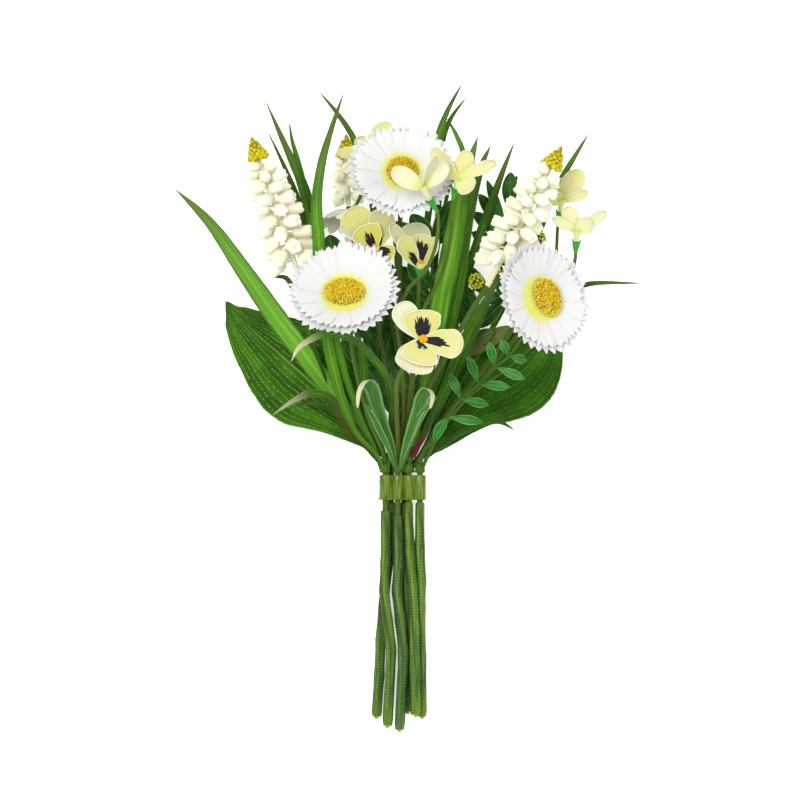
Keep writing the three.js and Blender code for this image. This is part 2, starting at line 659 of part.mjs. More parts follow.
// The clip: a band of plastic moulded round the six stems, with a flat back.
function clipBand() {
  const length = CLIP.high - CLIP.low;
  const across = (r, x, z, extra = 0) =>
    new THREE.CylinderGeometry(r, r, length + extra, 9).translate(x, 0, z);
  const hole = CORE_RADIUS + GAP + 0.1;
  const rounds = Object.values(STEMS).map(({ x, z }) => across(hole + CLIP.wall, x, z));
  const base = new THREE.BoxGeometry(15, length, 6.2).translate(1.4, 0, 3.1);
  const web = new THREE.BoxGeometry(16, length, 5).translate(0.6, 0, 6.6);
  const bores = Object.values(STEMS).map(({ x, z }) => across(hole, x, z, 4));
  return fuse([base, web, ...rounds], bores);
}
add("clip_band", clipBand(), COLORS.clip, 0.45);

// ---- leaves and grass ----------------------------------------------------------------------------
add("grass_left", tuft("left", 7.4, [
  { points: [
      [-45.5, 138, 21], [-48.5, 152, 26], [-52, 165, 28], [-54.5, 174, 28], [-56, 183, 28],
    ], width: 2.6, peak: 0.4, steps: 4 },
  { points: [
      [-9.7, 9, 8.6], [-14.6, 24, 11.5], [-17.5, 48, 23], [-19.5, 66, 31], [-24, 84, 38],
    ], width: 4.8, peak: 0.6, steps: 5 },
  { points: [
      [-9.9, 9, 10], [-12, 17, 13], [-19, 32, 19], [-27, 54, 29], [-33, 76, 37], [-38.5, 97, 38],
      [-42, 113, 30], [-44, 128, 22], [-46.5, 142, 21], [-50.5, 155, 24], [-58, 171.5, 31],
      [-68.5, 195.5, 30],
    ], width: 5.8, peak: 0.72, steps: 7 },
  { points: [
      [-10.2, 9, 9.6], [-13, 18, 11], [-21, 36, 18], [-30, 60, 28], [-37, 84, 36], [-41, 98, 35],
      [-44.5, 113, 25], [-47, 128, 18], [-52, 145, 18], [-58, 160, 21], [-67.5, 180, 25],
    ], width: 3.8, peak: 0.7 },
  { points: [
      [-8.6, 9, 11], [-12, 16, 14], [-22, 27, 20], [-26, 35, 23], [-30, 46, 28], [-34, 60, 33],
      [-37, 76, 39], [-40.5, 108, 50], [-41.2, 126, 54], [-42, 142, 55], [-39.5, 162, 54],
      [-34, 181.5, 52], [-28, 199, 50],
    ], width: 6.4, peak: 0.62, steps: 7 },
  { points: [
      [-6.6, 9, 10.8], [-5.6, 18, 13], [-5, 34, 22], [-4.6, 47, 36], [-7.5, 56, 47], [-14.5, 65, 55],
      [-22, 72.5, 58], [-30, 76, 59], [-38, 76.5, 58], [-45, 74, 56], [-51, 70, 54], [-55, 63, 51],
    ], width: 4.6, peak: 0.62, steps: 9 },
]), COLORS.grass);

add("grass_low_left", tuft("far_left", 13, [
  { points: [
      [-7.2, 14.6, 3.8], [-11, 20.5, 8], [-22, 33, 14], [-36, 50, 19], [-48, 66, 23], [-62, 84.5, 28],
      [-78.5, 108.5, 31], [-96, 133, 33], [-114, 150.5, 33],
    ], width: 10.4, peak: 0.6, steps: 6 },
  { points: [
      [-7, 14.6, 4.8], [-12, 20, 8], [-22, 29, 13], [-30, 37, 18], [-34.5, 43.5, 23], [-39, 46.5, 26],
      [-46, 47, 27], [-54, 43.5, 25], [-64.5, 36.5, 19],
    ], width: 4.4, peak: 0.6, steps: 6 },
  { points: [
      [-36, 50, 17.9], [-45, 74, 26], [-52, 94, 30], [-57.5, 105, 32], [-65, 105.5, 32],
    ], width: 2.8, peak: 0.6, steps: 5 },
  { points: [
      [-7.3, 14.6, 3.2], [-13, 18.5, 6.5], [-24, 27, 11], [-32, 36.5, 15.5], [-39.5, 41, 19],
      [-47, 42.5, 19], [-55, 40, 17],
    ], width: 3.2, peak: 0.6 },
]), COLORS.grass);

add("leaf_tuft_front", tuft("mid_left", 7.4, [
  { points: [
      [-2.2, 9, 11], [-4.2, 19, 17], [-8.4, 31, 28], [-12, 42, 40], [-14.5, 49.5, 48], [-17.5, 52, 53],
      [-20.5, 48, 57], [-21.5, 40, 57],
    ], width: 9.5, peak: 0.55, fold: 0.1, steps: 7, blunt: 0.15 },
  { points: [
      [-0.6, 9, 11], [1.2, 17, 18], [4.4, 27, 29], [8.3, 38, 40], [10.6, 45, 47], [13, 48, 51],
      [15.4, 46, 54], [14.4, 39.5, 55],
    ], width: 9, peak: 0.55, fold: 0.1, steps: 7, blunt: 0.15 },
  { points: [
      [-2.6, 9, 11], [-6.6, 20, 24], [-11, 29, 33.5], [-14.5, 36, 41], [-18.6, 43, 47],
    ], width: 3.4, peak: 0.55, steps: 6 },
  { points: [
      [0.4, 9, 9.8], [3.4, 20, 18], [7.6, 31, 31], [12.6, 40, 43], [18, 46, 49],
    ], width: 4, peak: 0.55, steps: 6 },
]), COLORS.dark);

add("grass_back", tuft("back", 13, [
  { points: [
      [-0.9, 14.8, 1.4], [-1.8, 19, 0.95], [-4, 34, 1.2], [-9, 64, 2.2], [-12.5, 104, 4.5],
      [-14, 138, 11], [-18.5, 160, 22], [-24, 175.5, 32], [-32, 187.5, 35], [-41.5, 199, 35],
    ], width: 3.2, peak: 0.75 },
  { points: [
      [4.1, 14.8, 2.4], [6.2, 18.4, 2], [8, 38, 2.4], [10, 70, 6], [11, 110, 20], [15, 150, 30],
      [18.5, 175, 36], [23, 188, 38], [31, 203, 40],
    ], width: 3.6, peak: 0.72 },
  { points: [
      [3.9, 14.8, 4], [5.8, 19, 4.8], [10, 38, 6.5], [14, 70, 9], [17, 110, 15], [19, 146, 22],
      [21, 174, 28], [25, 185, 29], [33, 196, 30],
    ], width: 3, peak: 0.72 },
  { points: [
      [17, 110, 15], [24, 150, 26], [31, 167, 30], [28, 176, 31], [23, 185, 31],
    ], width: 2.6, peak: 0.6, steps: 6 },
]), COLORS.grass);

add("grass_right", tuft("mid_right", 13.4, [
  { points: [
      [5.2, 15, 11], [7.8, 26, 14], [10.5, 46, 24], [14.5, 64, 34], [17.5, 79, 41], [20, 94, 45],
      [24, 112, 49], [27, 129, 53], [30.5, 149, 56], [34.5, 163, 57], [38.5, 176, 56],
    ], width: 10.6, peak: 0.6, fold: 0.16, steps: 7 },
  { points: [
      [5.6, 15, 10.6], [9.5, 28, 12], [16, 48, 20], [21.5, 66, 30], [25.5, 84, 37], [29.5, 104, 42],
      [32.5, 127, 46], [36.5, 147, 48], [41, 163, 47], [45, 171.5, 46],
    ], width: 5.6, peak: 0.62, steps: 6 },
  { points: [
      [6.4, 15, 9.6], [12, 30, 13], [20, 52, 20], [26, 76, 27], [31, 98, 32], [35, 114, 34],
      [40.5, 130, 36], [46, 145, 37], [51.5, 160, 38], [57, 173.5, 38],
    ], width: 4.4, peak: 0.66, steps: 6 },
  { points: [
      [6.6, 15, 9.8], [11.4, 27, 14.6], [21, 46, 23], [27, 60, 28], [35, 78, 33], [42, 92, 36],
      [50, 109, 37],
    ], width: 7.4, peak: 0.6, steps: 5 },
  { points: [
      [5, 15, 11], [8, 20, 15], [11.8, 27, 21], [15, 34, 26], [17.6, 40, 30],
    ], width: 3, peak: 0.5, steps: 5 },
]), COLORS.grass);

// A broad, waved leaf on a short stalk from its own collar. Its edges hang down to the surface. The half
// widths to the left and right of its midrib are given at shares of the way from root to tip.
const LEAF_SHARES = [0.2, 0.33, 0.42, 0.5, 0.6, 0.67, 0.76, 0.83, 1];
function halfWidth(widths, t) {
  const k = Math.max(1, LEAF_SHARES.findIndex((share) => share >= t - 1e-6));
  const [low, high] = [LEAF_SHARES[k - 1], LEAF_SHARES[k]];
  return mix(widths[k - 1], widths[k], Math.max(0, (t - low) / (high - low)));
}
function broadLeaf({ stem, low, points, widths, droop, wave, phase, steps = 12 }) {
  const columns = [-1, -0.55, 0, 0.55, 1];
  const rows = [];
  for (const f of frames(points, steps)) {
    for (const s of columns) {
      const wide = halfWidth(widths[s > 0 ? 1 : 0], f.t);
      const share = wide / 26;
      const ripple = wave * s * s * share * share * Math.sin(f.t * 24 + phase + (s > 0 ? 1.3 : 0));
      const edge = f.at.clone().addScaledVector(f.right, wide * s);
      rows.push(edge.addScaledVector(f.up, ripple - share * droop * s * s));
    }
  }
  const { x, z } = STEMS[stem];
  const collar = collarAt([x, low, z]);
  const sheet = thicken(rows, gridTriangles(steps + 1, columns.length), BLADE_THICK);
  return fuse([collar.body, sheet], [collar.bore]);
}
add("leaf_left", broadLeaf({
  stem: "far_left", low: 7.4, droop: 4.5, wave: 1.3, phase: 0.4,
  widths: [[1.5, 4, 13, 23, 26, 23, 15.5, 8, 0.5], [1.5, 4, 13, 21, 24, 22, 12, 6, 0.5]],
  points: [
      [-7.2, 9.6, 2.8], [-11, 13.5, 2.4], [-19, 24, 3.5], [-39, 47, 7], [-60.5, 66.5, 6.8],
      [-83, 87, 2.8], [-88, 93.5, 0.6],
    ],
}), COLORS.leaf);
add("leaf_right", broadLeaf({
  stem: "back", low: 7.4, droop: 4.5, wave: 1.3, phase: 2.1,
  widths: [[1.5, 3, 7, 12, 17, 17, 12, 7, 0.5], [1.5, 6, 12.5, 18.5, 24.5, 26.5, 21.5, 12.5, 0.5]],
  points: [
      [3.8, 9.6, 2.6], [8, 13.5, 2.2], [15, 22, 3], [34, 45, 6.8], [55, 61, 7.2], [73, 78, 3.8],
      [80, 88, 0.6],
    ],
}), COLORS.leaf);

// A leaflet that leaves its stalk at a point and ends at a tip, bowed a little towards the front.
function leaflet(from, tip, width, bow = 1.5) {
  const middle = vector(from).lerp(vector(tip), 0.5);
  const stations = frames([from, [middle.x, middle.y, middle.z + bow], tip], 10, [0, 0, 1]);
  const place = ({ at, right, up }, across) =>
    at.clone().addScaledVector(right, across).addScaledVector(up, -0.1 * width);
  const row = (station) => [place(station, -width / 2), station.at, place(station, width / 2)];
  const rows = [...row(stations[4]), ...row(stations[7])];
  const points = [place(stations[0], -0.5), place(stations[0], 0.5), ...rows, stations[10].at];
  const faces = [
    [0, 2, 3], [0, 3, 1], [1, 3, 4], [2, 5, 6], [2, 6, 3], [3, 6, 7], [3, 7, 4], [5, 8, 6], [6, 8, 7],
  ];
  return thicken(points, faces.map(([i, j, k]) => [i, k, j]), BLADE_THICK);
}
const spray = (stem, low, stalk, leaflets, blades = []) => {
  const { x, z } = STEMS[stem];
  const collar = collarAt([x, low, z]);
  const tubes = stalk.map(({ points, from = 1, to = 0.7 }) => tube(points, even(from, to), 4, points.length));
  const leaves = leaflets.map((plan) => leaflet(...plan));
  return fuse([collar.body, ...tubes, ...leaves, ...blades.map(blade)], [collar.bore]);
};

add("sprig_right", spray("right", 7.4, [
  { points: [
      [10.6, 9.4, 10.4], [13, 15, 15], [16, 21.5, 20], [23, 35.5, 28], [30, 44.5, 33], [39, 52, 37],
      [47, 60.5, 40], [54, 66, 42], [60, 74.5, 44],
    ] },
], [
  [[16, 21.5, 20], [21, 34, 26.5], 5], [[23, 35.5, 28], [41, 33, 27], 4.8],
  [[30, 44.5, 33], [44, 41.5, 32], 4.8], [[39, 52, 37], [54.5, 50.5, 36], 4.8],
  [[47, 60.5, 40], [62, 54.5, 38], 4.8], [[54, 66, 42], [63, 63.5, 41], 4.4],
  [[23, 35.5, 28], [19, 28, 26], 4.5], [[30, 44.5, 33], [24.5, 57, 37], 4.6],
  [[39, 52, 37], [33.5, 66, 41], 4.6],
  [[47, 60.5, 40], [44, 73, 44], 4.6], [[54, 66, 42], [50, 74, 45], 4.4],
], [
  { points: [
      [13, 15, 15], [24, 24, 14], [38, 31, 12.5], [49, 33, 12], [57, 29, 11],
    ], width: 3, peak: 0.5, steps: 5 },
]), COLORS.dark);

add("foliage_right", spray("mid_right", 7.4, [
  { points: [
      [5.6, 9.4, 7], [8, 14, 5.4], [12.5, 22, 6.4], [20, 40, 11], [29, 62, 16], [38, 80, 20],
      [47, 104, 26], [52, 130, 31], [58, 156, 34],
    ] },
  { points: [[38, 80, 20], [36, 96, 26], [37.5, 103, 32]], from: 0.8, to: 0.7 },
  { points: [[47, 104, 26], [50, 108, 30], [51, 110, 36]], from: 0.8, to: 0.7 },
  { points: [[47, 104, 26], [58, 114, 32], [68, 124, 40]], from: 0.8, to: 0.7 },
], [
  [[52, 130, 31], [39, 147, 32], 7], [[54, 140, 32], [55, 158, 34], 8], [[52, 130, 31], [43, 154, 35], 5],
  [[38, 80, 20], [50, 92, 26], 8], [[34, 72, 18], [46, 79, 23], 7], [[47, 104, 26], [56, 92, 28], 6],
  [[40, 86, 21], [26, 98, 24], 8], [[44, 96, 24], [31, 112, 26], 8], [[50, 118, 29], [62, 134, 32], 7],
  [[31, 66, 17], [55, 81, 16], 8],
], [
  { points: [
      [12.5, 22, 6.4], [20, 36, 10], [34, 58, 14], [48, 84, 18], [65, 118, 26], [78, 150, 34],
      [87, 166, 36], [94, 177.5, 36],
    ], width: 3.2, peak: 0.7, steps: 6 },
  { points: [
      [47, 104, 26], [64, 105, 25], [82, 100, 24], [97, 102.5, 27], [121, 102.5, 30],
    ], width: 3, peak: 0.5, steps: 6 },
]), COLORS.dark);

add("foliage_middle", spray("back", 18.2, [
  { points: [[1.6, 20.4, 5.8], [3, 26, 9.5], [7.5, 44, 14], [12.5, 70, 19], [15, 96, 23], [16, 122, 26]] },
  { points: [
      [1.6, 20.4, 5.6], [-2, 29, 8], [-5, 37, 9.2], [-10, 56, 10.2], [-14, 74, 11.4], [-17, 90, 12],
    ] },
], [
  [[-5, 37, 9.9], [-9.5, 64, 10.6], 11], [[-8, 48, 10.5], [-22, 66, 11], 11],
  [[-14, 74, 12], [-28, 92, 12], 12], [[-13, 70, 11.8], [-6, 96, 13], 13],
  [[-17, 90, 12.6], [-23, 114, 13.5], 12], [[-16.8, 89, 12.6], [-4, 112, 14], 11],
  [[6, 38, 12.9], [12.5, 60, 12], 9], [[15.6, 111, 25.4], [-3, 126, 22], 11],
  [[12.5, 70, 19], [25, 85, 22], 12], [[13.5, 80, 20.5], [5.5, 97, 24], 9],
  [[15, 96, 23], [27, 110, 26], 12], [[15.2, 100, 23.5], [4, 114, 26], 10],
  [[16, 122, 26], [25, 132, 28], 8], [[16, 122, 26], [5, 137, 28], 10],
  [[14.3, 88, 22.6], [-2, 104, 19], 10], [[13.2, 76, 20.7], [-3.5, 90, 12.5], 10],
  [[12.3, 70, 19.4], [-3, 78, 10], 9],
  [[12.5, 70, 19], [29, 75, 15], 9],
]), COLORS.dark);

// A cluster of small round buds on a short foot.
function budCluster([x, y, z], seed) {
  const random = seeded(seed);
  const foot = turned([[0, 0], [1.2, 0], [2, 4], [0, 4]], 6).translate(x, y, z);
  const buds = turns(5).map((angle) => {
    const bud = new THREE.OctahedronGeometry(2.3 + random() * 0.5, 0).rotateX(0.37).rotateZ(angle + 0.2);
    return bud.translate(x + 2.1 * Math.cos(angle), y + 2.1 * Math.sin(angle), z + 3.6 + random());
  });
  return fuse([foot, ...buds]);
}
const BUDS = { left: [37.5, 103.6, 32.9], middle: [51.1, 110.3, 36.9], right: [68.6, 124.6, 41] };

// ---- the blooms ----------------------------------------------------------------------------------
for (const [name, head] of Object.entries(DAISIES)) {
  add(`daisy_${name}_petals`, daisyLayer(head, false), COLORS.white, 0.8);
  if (head.layers !== 1) add(`daisy_${name}_upper`, daisyLayer(head, true), COLORS.white, 0.8);
  add(`daisy_${name}_disc`, daisyDisc(head), COLORS.yellow, 0.95);
}
for (const [name, head] of Object.entries(PANSIES)) {
  add(`pansy_${name}_petals`, pansyPetals(head), COLORS.pansy, 0.8);
}
add("pansy_front_eye", pansyEye(PANSIES.front), COLORS.yellow, 0.8);
for (const [name, spike] of Object.entries(HYACINTHS)) {
  add(`hyacinth_${name}_bells`, spikeBells(spike), COLORS.cream, 0.7);
  add(`hyacinth_${name}_tip`, spikeTip(spike), COLORS.lime, 0.7);
}
for (const [name, star] of Object.entries(STARS)) add(`star_${name}`, starFlower(star), COLORS.pansy, 0.8);
for (const [i, name] of Object.keys(BUDS).entries()) {
  add(`buds_${name}`, budCluster(BUDS[name], 41 + i), COLORS.yellow, 0.8);
}

export default group;
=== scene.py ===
"""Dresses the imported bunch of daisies: fine petals, bells, blades and leaves, with their finishes."""

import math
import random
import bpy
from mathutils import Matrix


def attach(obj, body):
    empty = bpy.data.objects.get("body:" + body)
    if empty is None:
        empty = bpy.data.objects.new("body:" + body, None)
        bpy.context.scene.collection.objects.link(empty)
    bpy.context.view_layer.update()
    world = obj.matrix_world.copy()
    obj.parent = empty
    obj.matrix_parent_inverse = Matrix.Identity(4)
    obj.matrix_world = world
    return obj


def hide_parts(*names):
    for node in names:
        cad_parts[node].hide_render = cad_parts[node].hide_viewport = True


bl_info = {
    "name": "Bunch of daisies",
    "version": (1, 0, 0),
    "blender": (4, 5, 0),
    "location": "3D View > Sidebar > Bunch",
    "description": "Makes the fine flowers, leaves and stems of an artificial bunch of daisies",
    "category": "Add Mesh",
}

import bmesh
import bpy
import numpy as np
from bpy.props import FloatProperty, FloatVectorProperty, IntProperty, PointerProperty

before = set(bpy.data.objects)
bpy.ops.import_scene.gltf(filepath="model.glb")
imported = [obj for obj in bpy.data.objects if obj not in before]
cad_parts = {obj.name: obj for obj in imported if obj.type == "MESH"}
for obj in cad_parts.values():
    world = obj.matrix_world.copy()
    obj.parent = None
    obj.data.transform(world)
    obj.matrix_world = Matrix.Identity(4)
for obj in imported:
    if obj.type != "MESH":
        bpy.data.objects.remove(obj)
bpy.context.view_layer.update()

MM = 0.001
BODY = "root"
GOLDEN_ANGLE = 2.39996
TUBE_UP = (0.3, 0.1, 1)  # which side of a tube counts as its top
LIGHT_LEVEL = 1.25  # how much light falls on a face that looks up, so a colour code is a colour as it is seen

# ---- sizes of the bunch, in millimetres, as in its CAD source ----
CORE_RADIUS = 1.45
SLEEVE_RADIUS = (2.25, 2.6)
GAP = 0.3
CLIP_HALF = 6.25
CLIP_WALL = 1.2
CLIP_BORE = CORE_RADIUS + GAP + 0.1
COLLAR_INNER, COLLAR_OUTER, COLLAR_LENGTH = 1.9, 2.65, 4.6
LAYER_STEP = 1.0
SPIKE_TIP = 13.0
PETAL_SEAT = 0.35

# ---- the stage, in metres and watts ----
FLOOR_REACH, FLOOR_LEVEL, FLOOR_GLOW = 12.0, -0.0004, 0.5
FLOOR_PALE, FLOOR_PALER = (0.95, 0.95, 0.95), (0.97, 0.97, 0.97)
SKY_STRENGTH = 0.62
LAMPS = {  # place, size, power
    "key": ((-0.8, 0.7, 2.3), 1.0, 50),
    "fill": ((1.4, 0.3, 1.9), 1.4, 16),
    "low": ((-0.2, -1.7, 1.5), 1.2, 10),
}
LAMP_TARGET = (0, 0.04, 0.04)
LENS, SENSOR = 500, 36  # a long lens, in millimetres, because the photograph shows little perspective
VIEW_MIDDLE = (-0.0005, 0.044)
VIEW_WIDTH, VIEW_LEVEL = 0.4, 0.04

# ---- where the stems stand in the clip, across and up, and the route of each sleeve ----
STEMS = {
    "far_left": (-5.0, 3.2),
    "left": (-7.9, 8.9),
    "mid_left": (-1.6, 8.9),
    "back": (1.6, 3.2),
    "mid_right": (3.95, 8.9),
    "right": (9.5, 8.9),
}

SLEEVES = {
    "far_left": [(-5, -7.6, 3.2), (-5, -18, 3.2), (-6.4, -38, 3.1), (-8.8, -58, 3), (-10.3, -76, 3),
                 (-11, -95, 3), (-12.4, -115, 3.1)],
    "left": [(-7.9, -11.5, 8.9), (-7.9, -22, 8.9), (-8, -38, 8.7), (-8.6, -52, 8.5), (-6.6, -67, 8.4),
             (-4.9, -81.5, 8.4), (-6.8, -119.5, 8.2)],
    "mid_left": [(-1.6, -14, 8.9), (-1.6, -24, 8.9), (-1.2, -38, 9), (-2.2, -52, 9), (-0.5, -67, 9),
                 (1.2, -83.5, 9), (-0.8, -121.5, 8.8)],
    "back": [(1.6, -7.6, 3.2), (1.6, -18, 3.2), (1.8, -38, 3.1), (2.5, -60, 3.1), (3.3, -85, 3.1),
             (3.5, -112.5, 3.1)],
    "mid_right": [(3.95, -7.6, 8.9), (3.95, -18, 9), (4.7, -32, 9.2), (5.6, -48.5, 9.3), (6.6, -71, 9.5),
                  (6.9, -91, 9.5), (7.4, -114, 9.3)],
    "right": [(9.5, -7.6, 8.9), (9.5, -18, 8.7), (9.5, -30, 8), (10.2, -47, 7), (9.8, -61, 5.6), (10, -86, 4.6),
              (10.5, -115, 4.2)],
}
# How light each sleeve's green is, and how blue.
SLEEVE_TONES = {
    "far_left": (0.35, 0.0), "left": (0.6, 0.05), "mid_left": (0.3, 0.55), "back": (0.0, 0.3),
    "mid_right": (0.75, 0.0), "right": (0.7, 0.0),
}

DAISIES = {
    "left": {"at": (-28, 96.4, 70), "faces": (-0.1, 0.57, 0.82), "radius": 26.5, "disc": 10, "dome": 10.1,
             "oval": (1, 0.78), "spread": (1.11, 1.1), "cup": 5, "seed": 3},
    "top": {"at": (0.5, 157, 66), "faces": (0.05, 0.42, 0.9), "radius": 25.5, "disc": 8.6,
            "spread": (1.08, 1.04), "cup": 4, "seed": 11},
    "right": {"at": (69.5, 94.2, 60), "faces": (0.56, 0.18, 0.81), "radius": 27.5, "disc": 10, "dome": 10.1,
              "oval": (0.77, 0.97), "spread": (1, 1.08), "aside": 2.2, "roll": 18, "cup": 3, "seed": 23},
    "nodding": {"at": (-25, 137, 28), "faces": (-0.45, -0.85, 0.28), "radius": 12, "disc": 4, "dome": 2.4,
                "cup": 10, "single": True, "seed": 31},
}


def petal(root, tip, half, **more):
    """A petal from its root to its tip, both measured from the head's place, and half its width.

    More: tilt (its turn on its own length), bow, whiskers (reach and spread of its dark marks), white, and grey
    (painted shade on the petal).
    """
    return {"root": root, "tip": tip, "half": half, **more}


PANSIES = {
    "front": {"at": (11, 74, 84), "faces": (-0.05, 0.1, 1), "petals": [
        petal((-1.2, 0.5, 0), (-11.8, 17, 2.5), 6.6, white=0.95),
        petal((-0.4, 0.4, 0), (-5.7, -15.4, 0), 10, white=0.9),
        petal((0, 0.5, 0.9), (-0.8, 14, 2.5), 9.6, whiskers=(10.5, 0.62), white=0.2),
        petal((0.5, 0.5, 0.9), (-2.9, -11.7, 3), 9.2, whiskers=(5.6, 0.75), white=0.3),
        petal((-0.5, 0.1, 1.9), (18.8, -2.8, 2.5), 7.2, whiskers=(12.5, 0.3), white=0.3),
    ]},
    "middle": {"at": (9.5, 110.5, 52), "faces": (0.05, 0.8, 0.6), "petals": [
        petal((0, 0.5, -0.5), (-4, 20.5, -3), 8.4, white=0.6, grey=1),
        petal((-1, 0.5, 0), (-14.5, 20, 0), 4, tilt=35, white=0.5, grey=0.6),
        petal((0, 0.5, 0.4), (1.3, 15.5, 1), 6.2, whiskers=(12, 0.5), grey=0.4),
        petal((-0.8, 0, 0.9), (-9.5, 13.5, 5), 5, tilt=20, whiskers=(9, 0.3), grey=0.3),
        petal((0.8, 0, 0.9), (9, 13, 5), 5.5, tilt=-55, white=0.3),
    ]},
    "left": {"at": (-12, 119, 50), "faces": (-0.4, 0.65, 0.65), "petals": [
        petal((0, 1, -0.3), (-13.8, 19, -1), 8.5, whiskers=(9, 0.14)),
        petal((0.6, 1, 0), (3, 19, 0), 7, whiskers=(8, 0.3), grey=0.7),
        petal((-1, 0, 0.9), (-6.8, 11.5, 4.5), 7.6, whiskers=(9.5, 0.36)),
        petal((-1, 0, 1.4), (-18, 9.7, 5), 4.4, tilt=60, white=0.8),
        petal((0.6, 0.3, 1.8), (8.5, -3, 6), 4.5, whiskers=(7, 0.5)),
    ]},
}
# The lumps of a pansy's eye: place across and up, and size.
PANSY_EYE = ((-1.3, 0.5, 1.25), (0.1, 1.1, 1.2), (1.3, -0.3, 1.25), (-0.5, -0.9, 1.15), (0.5, 0.1, 1.3))
HYACINTHS = {
    "left": {"foot": (-50, 103, 34), "tip": (-75, 176, 44), "bells": 38, "reach": 14.5, "seed": 5},
    "back": {"foot": (-26.5, 142, 13), "tip": (-27.5, 178, 21), "bells": 15, "reach": 9.5, "seed": 9},
    "right": {"foot": (43, 101, 52), "tip": (80.5, 171, 60), "bells": 38, "reach": 13.5, "seed": 15},
}
STARS = {
    "back_left": {"at": (-14, 161, 42), "faces": (-0.35, 0.7, 0.3), "tube": 9, "tone": 0.85, "petals": [
        petal((-3.5, 7, 3), (8.5, 21.5, 4), 5),
        petal((-4, 7, 3), (-17.5, 5.5, 6), 3.6, tilt=30),
        petal((-4, 7.3, 3), (-6.5, 15, 5), 4),
        petal((-3.5, 7, 3), (5, 12, 2), 3.5),
    ]},
    "over_daisy": {"at": (14.5, 143, 88), "faces": (-0.45, 0.75, 0.4), "tube": 9, "tone": 0.1, "petals": [
        petal((-3.6, 6, 3.5), (-19, 15, 5), 4.9),
        petal((-3.4, 6.6, 3.5), (2, 22.5, 6), 5, tilt=65),
        petal((-3.4, 6.4, 3), (8, 18.5, -1), 5),
    ]},
    "beside_daisy": {"at": (27, 149, 76), "faces": (0.15, 0.7, 0.6), "tube": 8, "tone": 0.75, "petals": [
        petal((0.6, 5, 4.6), (-11, 20, 6), 4.6, bow=1.5, tilt=-20),
        petal((1.4, 5.6, 4.8), (6.5, 18.5, 5), 4.6),
        petal((1.6, 5.6, 4.8), (20.5, 13, 7), 3.2, bow=2),
        petal((1.4, 5, 5), (8.5, -1, 9), 5.4),
        petal((0.6, 5, 4.8), (-5.5, 10, 8), 3),
    ]},
    "right_high": {"at": (79.5, 138, 39.5), "faces": (0.12, 0.85, 0.5), "tube": 8, "tone": 0.8, "petals": [
        petal((0.8, 5, 3.4), (10.5, 21, 4), 5.8, tilt=-15),
        petal((0, 4, 4), (-4, 8.5, 7), 4.2),
        petal((1, 5.4, 3.6), (14, 10, 6), 2.9),
        petal((0.6, 5.4, 2.8), (2, 17, 1), 4),
    ]},
    "right_low": {"at": (87.5, 123, 50), "faces": (0.05, 0.9, 0.4), "tube": 7, "tone": 0.3, "petals": [
        petal((0, 5, 2.4), (-12, 12, 4), 2.6),
        petal((0, 5.4, 2.4), (-5, 17.5, 3), 4.4),
        petal((0.6, 5.4, 2.6), (15, 15, 5), 3, bow=1.5),
        petal((0.6, 4.6, 3), (7.5, 10.5, 6), 4.6),
    ]},
}
# How a layer of daisy petals is cut and bent: its reach, how deep its teeth are, how its ends round off, how wide
# its petals spread, how much it rises past the cup and in what curve, where its rim is, its height over the lower
# layer, its curl, and how far it is turned in petals.
LOWER = {"reach": 1, "teeth": (0.07, 0.14), "round": (0.035, 5), "spread": 0.57, "rise": (0, 1.2), "rim": 1,
         "level": 0, "curl": (-0.8, 1.1), "offset": 0}
LAYERS = {
    "petals": LOWER,
    "upper": {**LOWER, "reach": 0.9, "teeth": (0.06, 0.12), "rise": (0.6, 1.2), "rim": 0.88, "level": LAYER_STEP,
              "curl": (-1.2, 0.3), "offset": 0.5},
    "single": {**LOWER, "teeth": (0.01, 0.02), "round": (0.16, 3.5), "spread": 0.66, "rise": (0, 2.0)},
}
BUDS = {"left": (37.5, 103.6, 32.9), "middle": (51.1, 110.3, 36.9), "right": (68.6, 124.6, 41)}


def behind(head, *distances):
    """The points at some distances behind a head, on the line that it faces along."""
    face = unit(head["faces"])
    return [tuple(np.array(head["at"], float) - face * distance) for distance in distances]


def unit(v):
    v = np.array(v, float)
    return v / np.linalg.norm(v)


def mix(a, b, t):
    return a + (b - a) * t


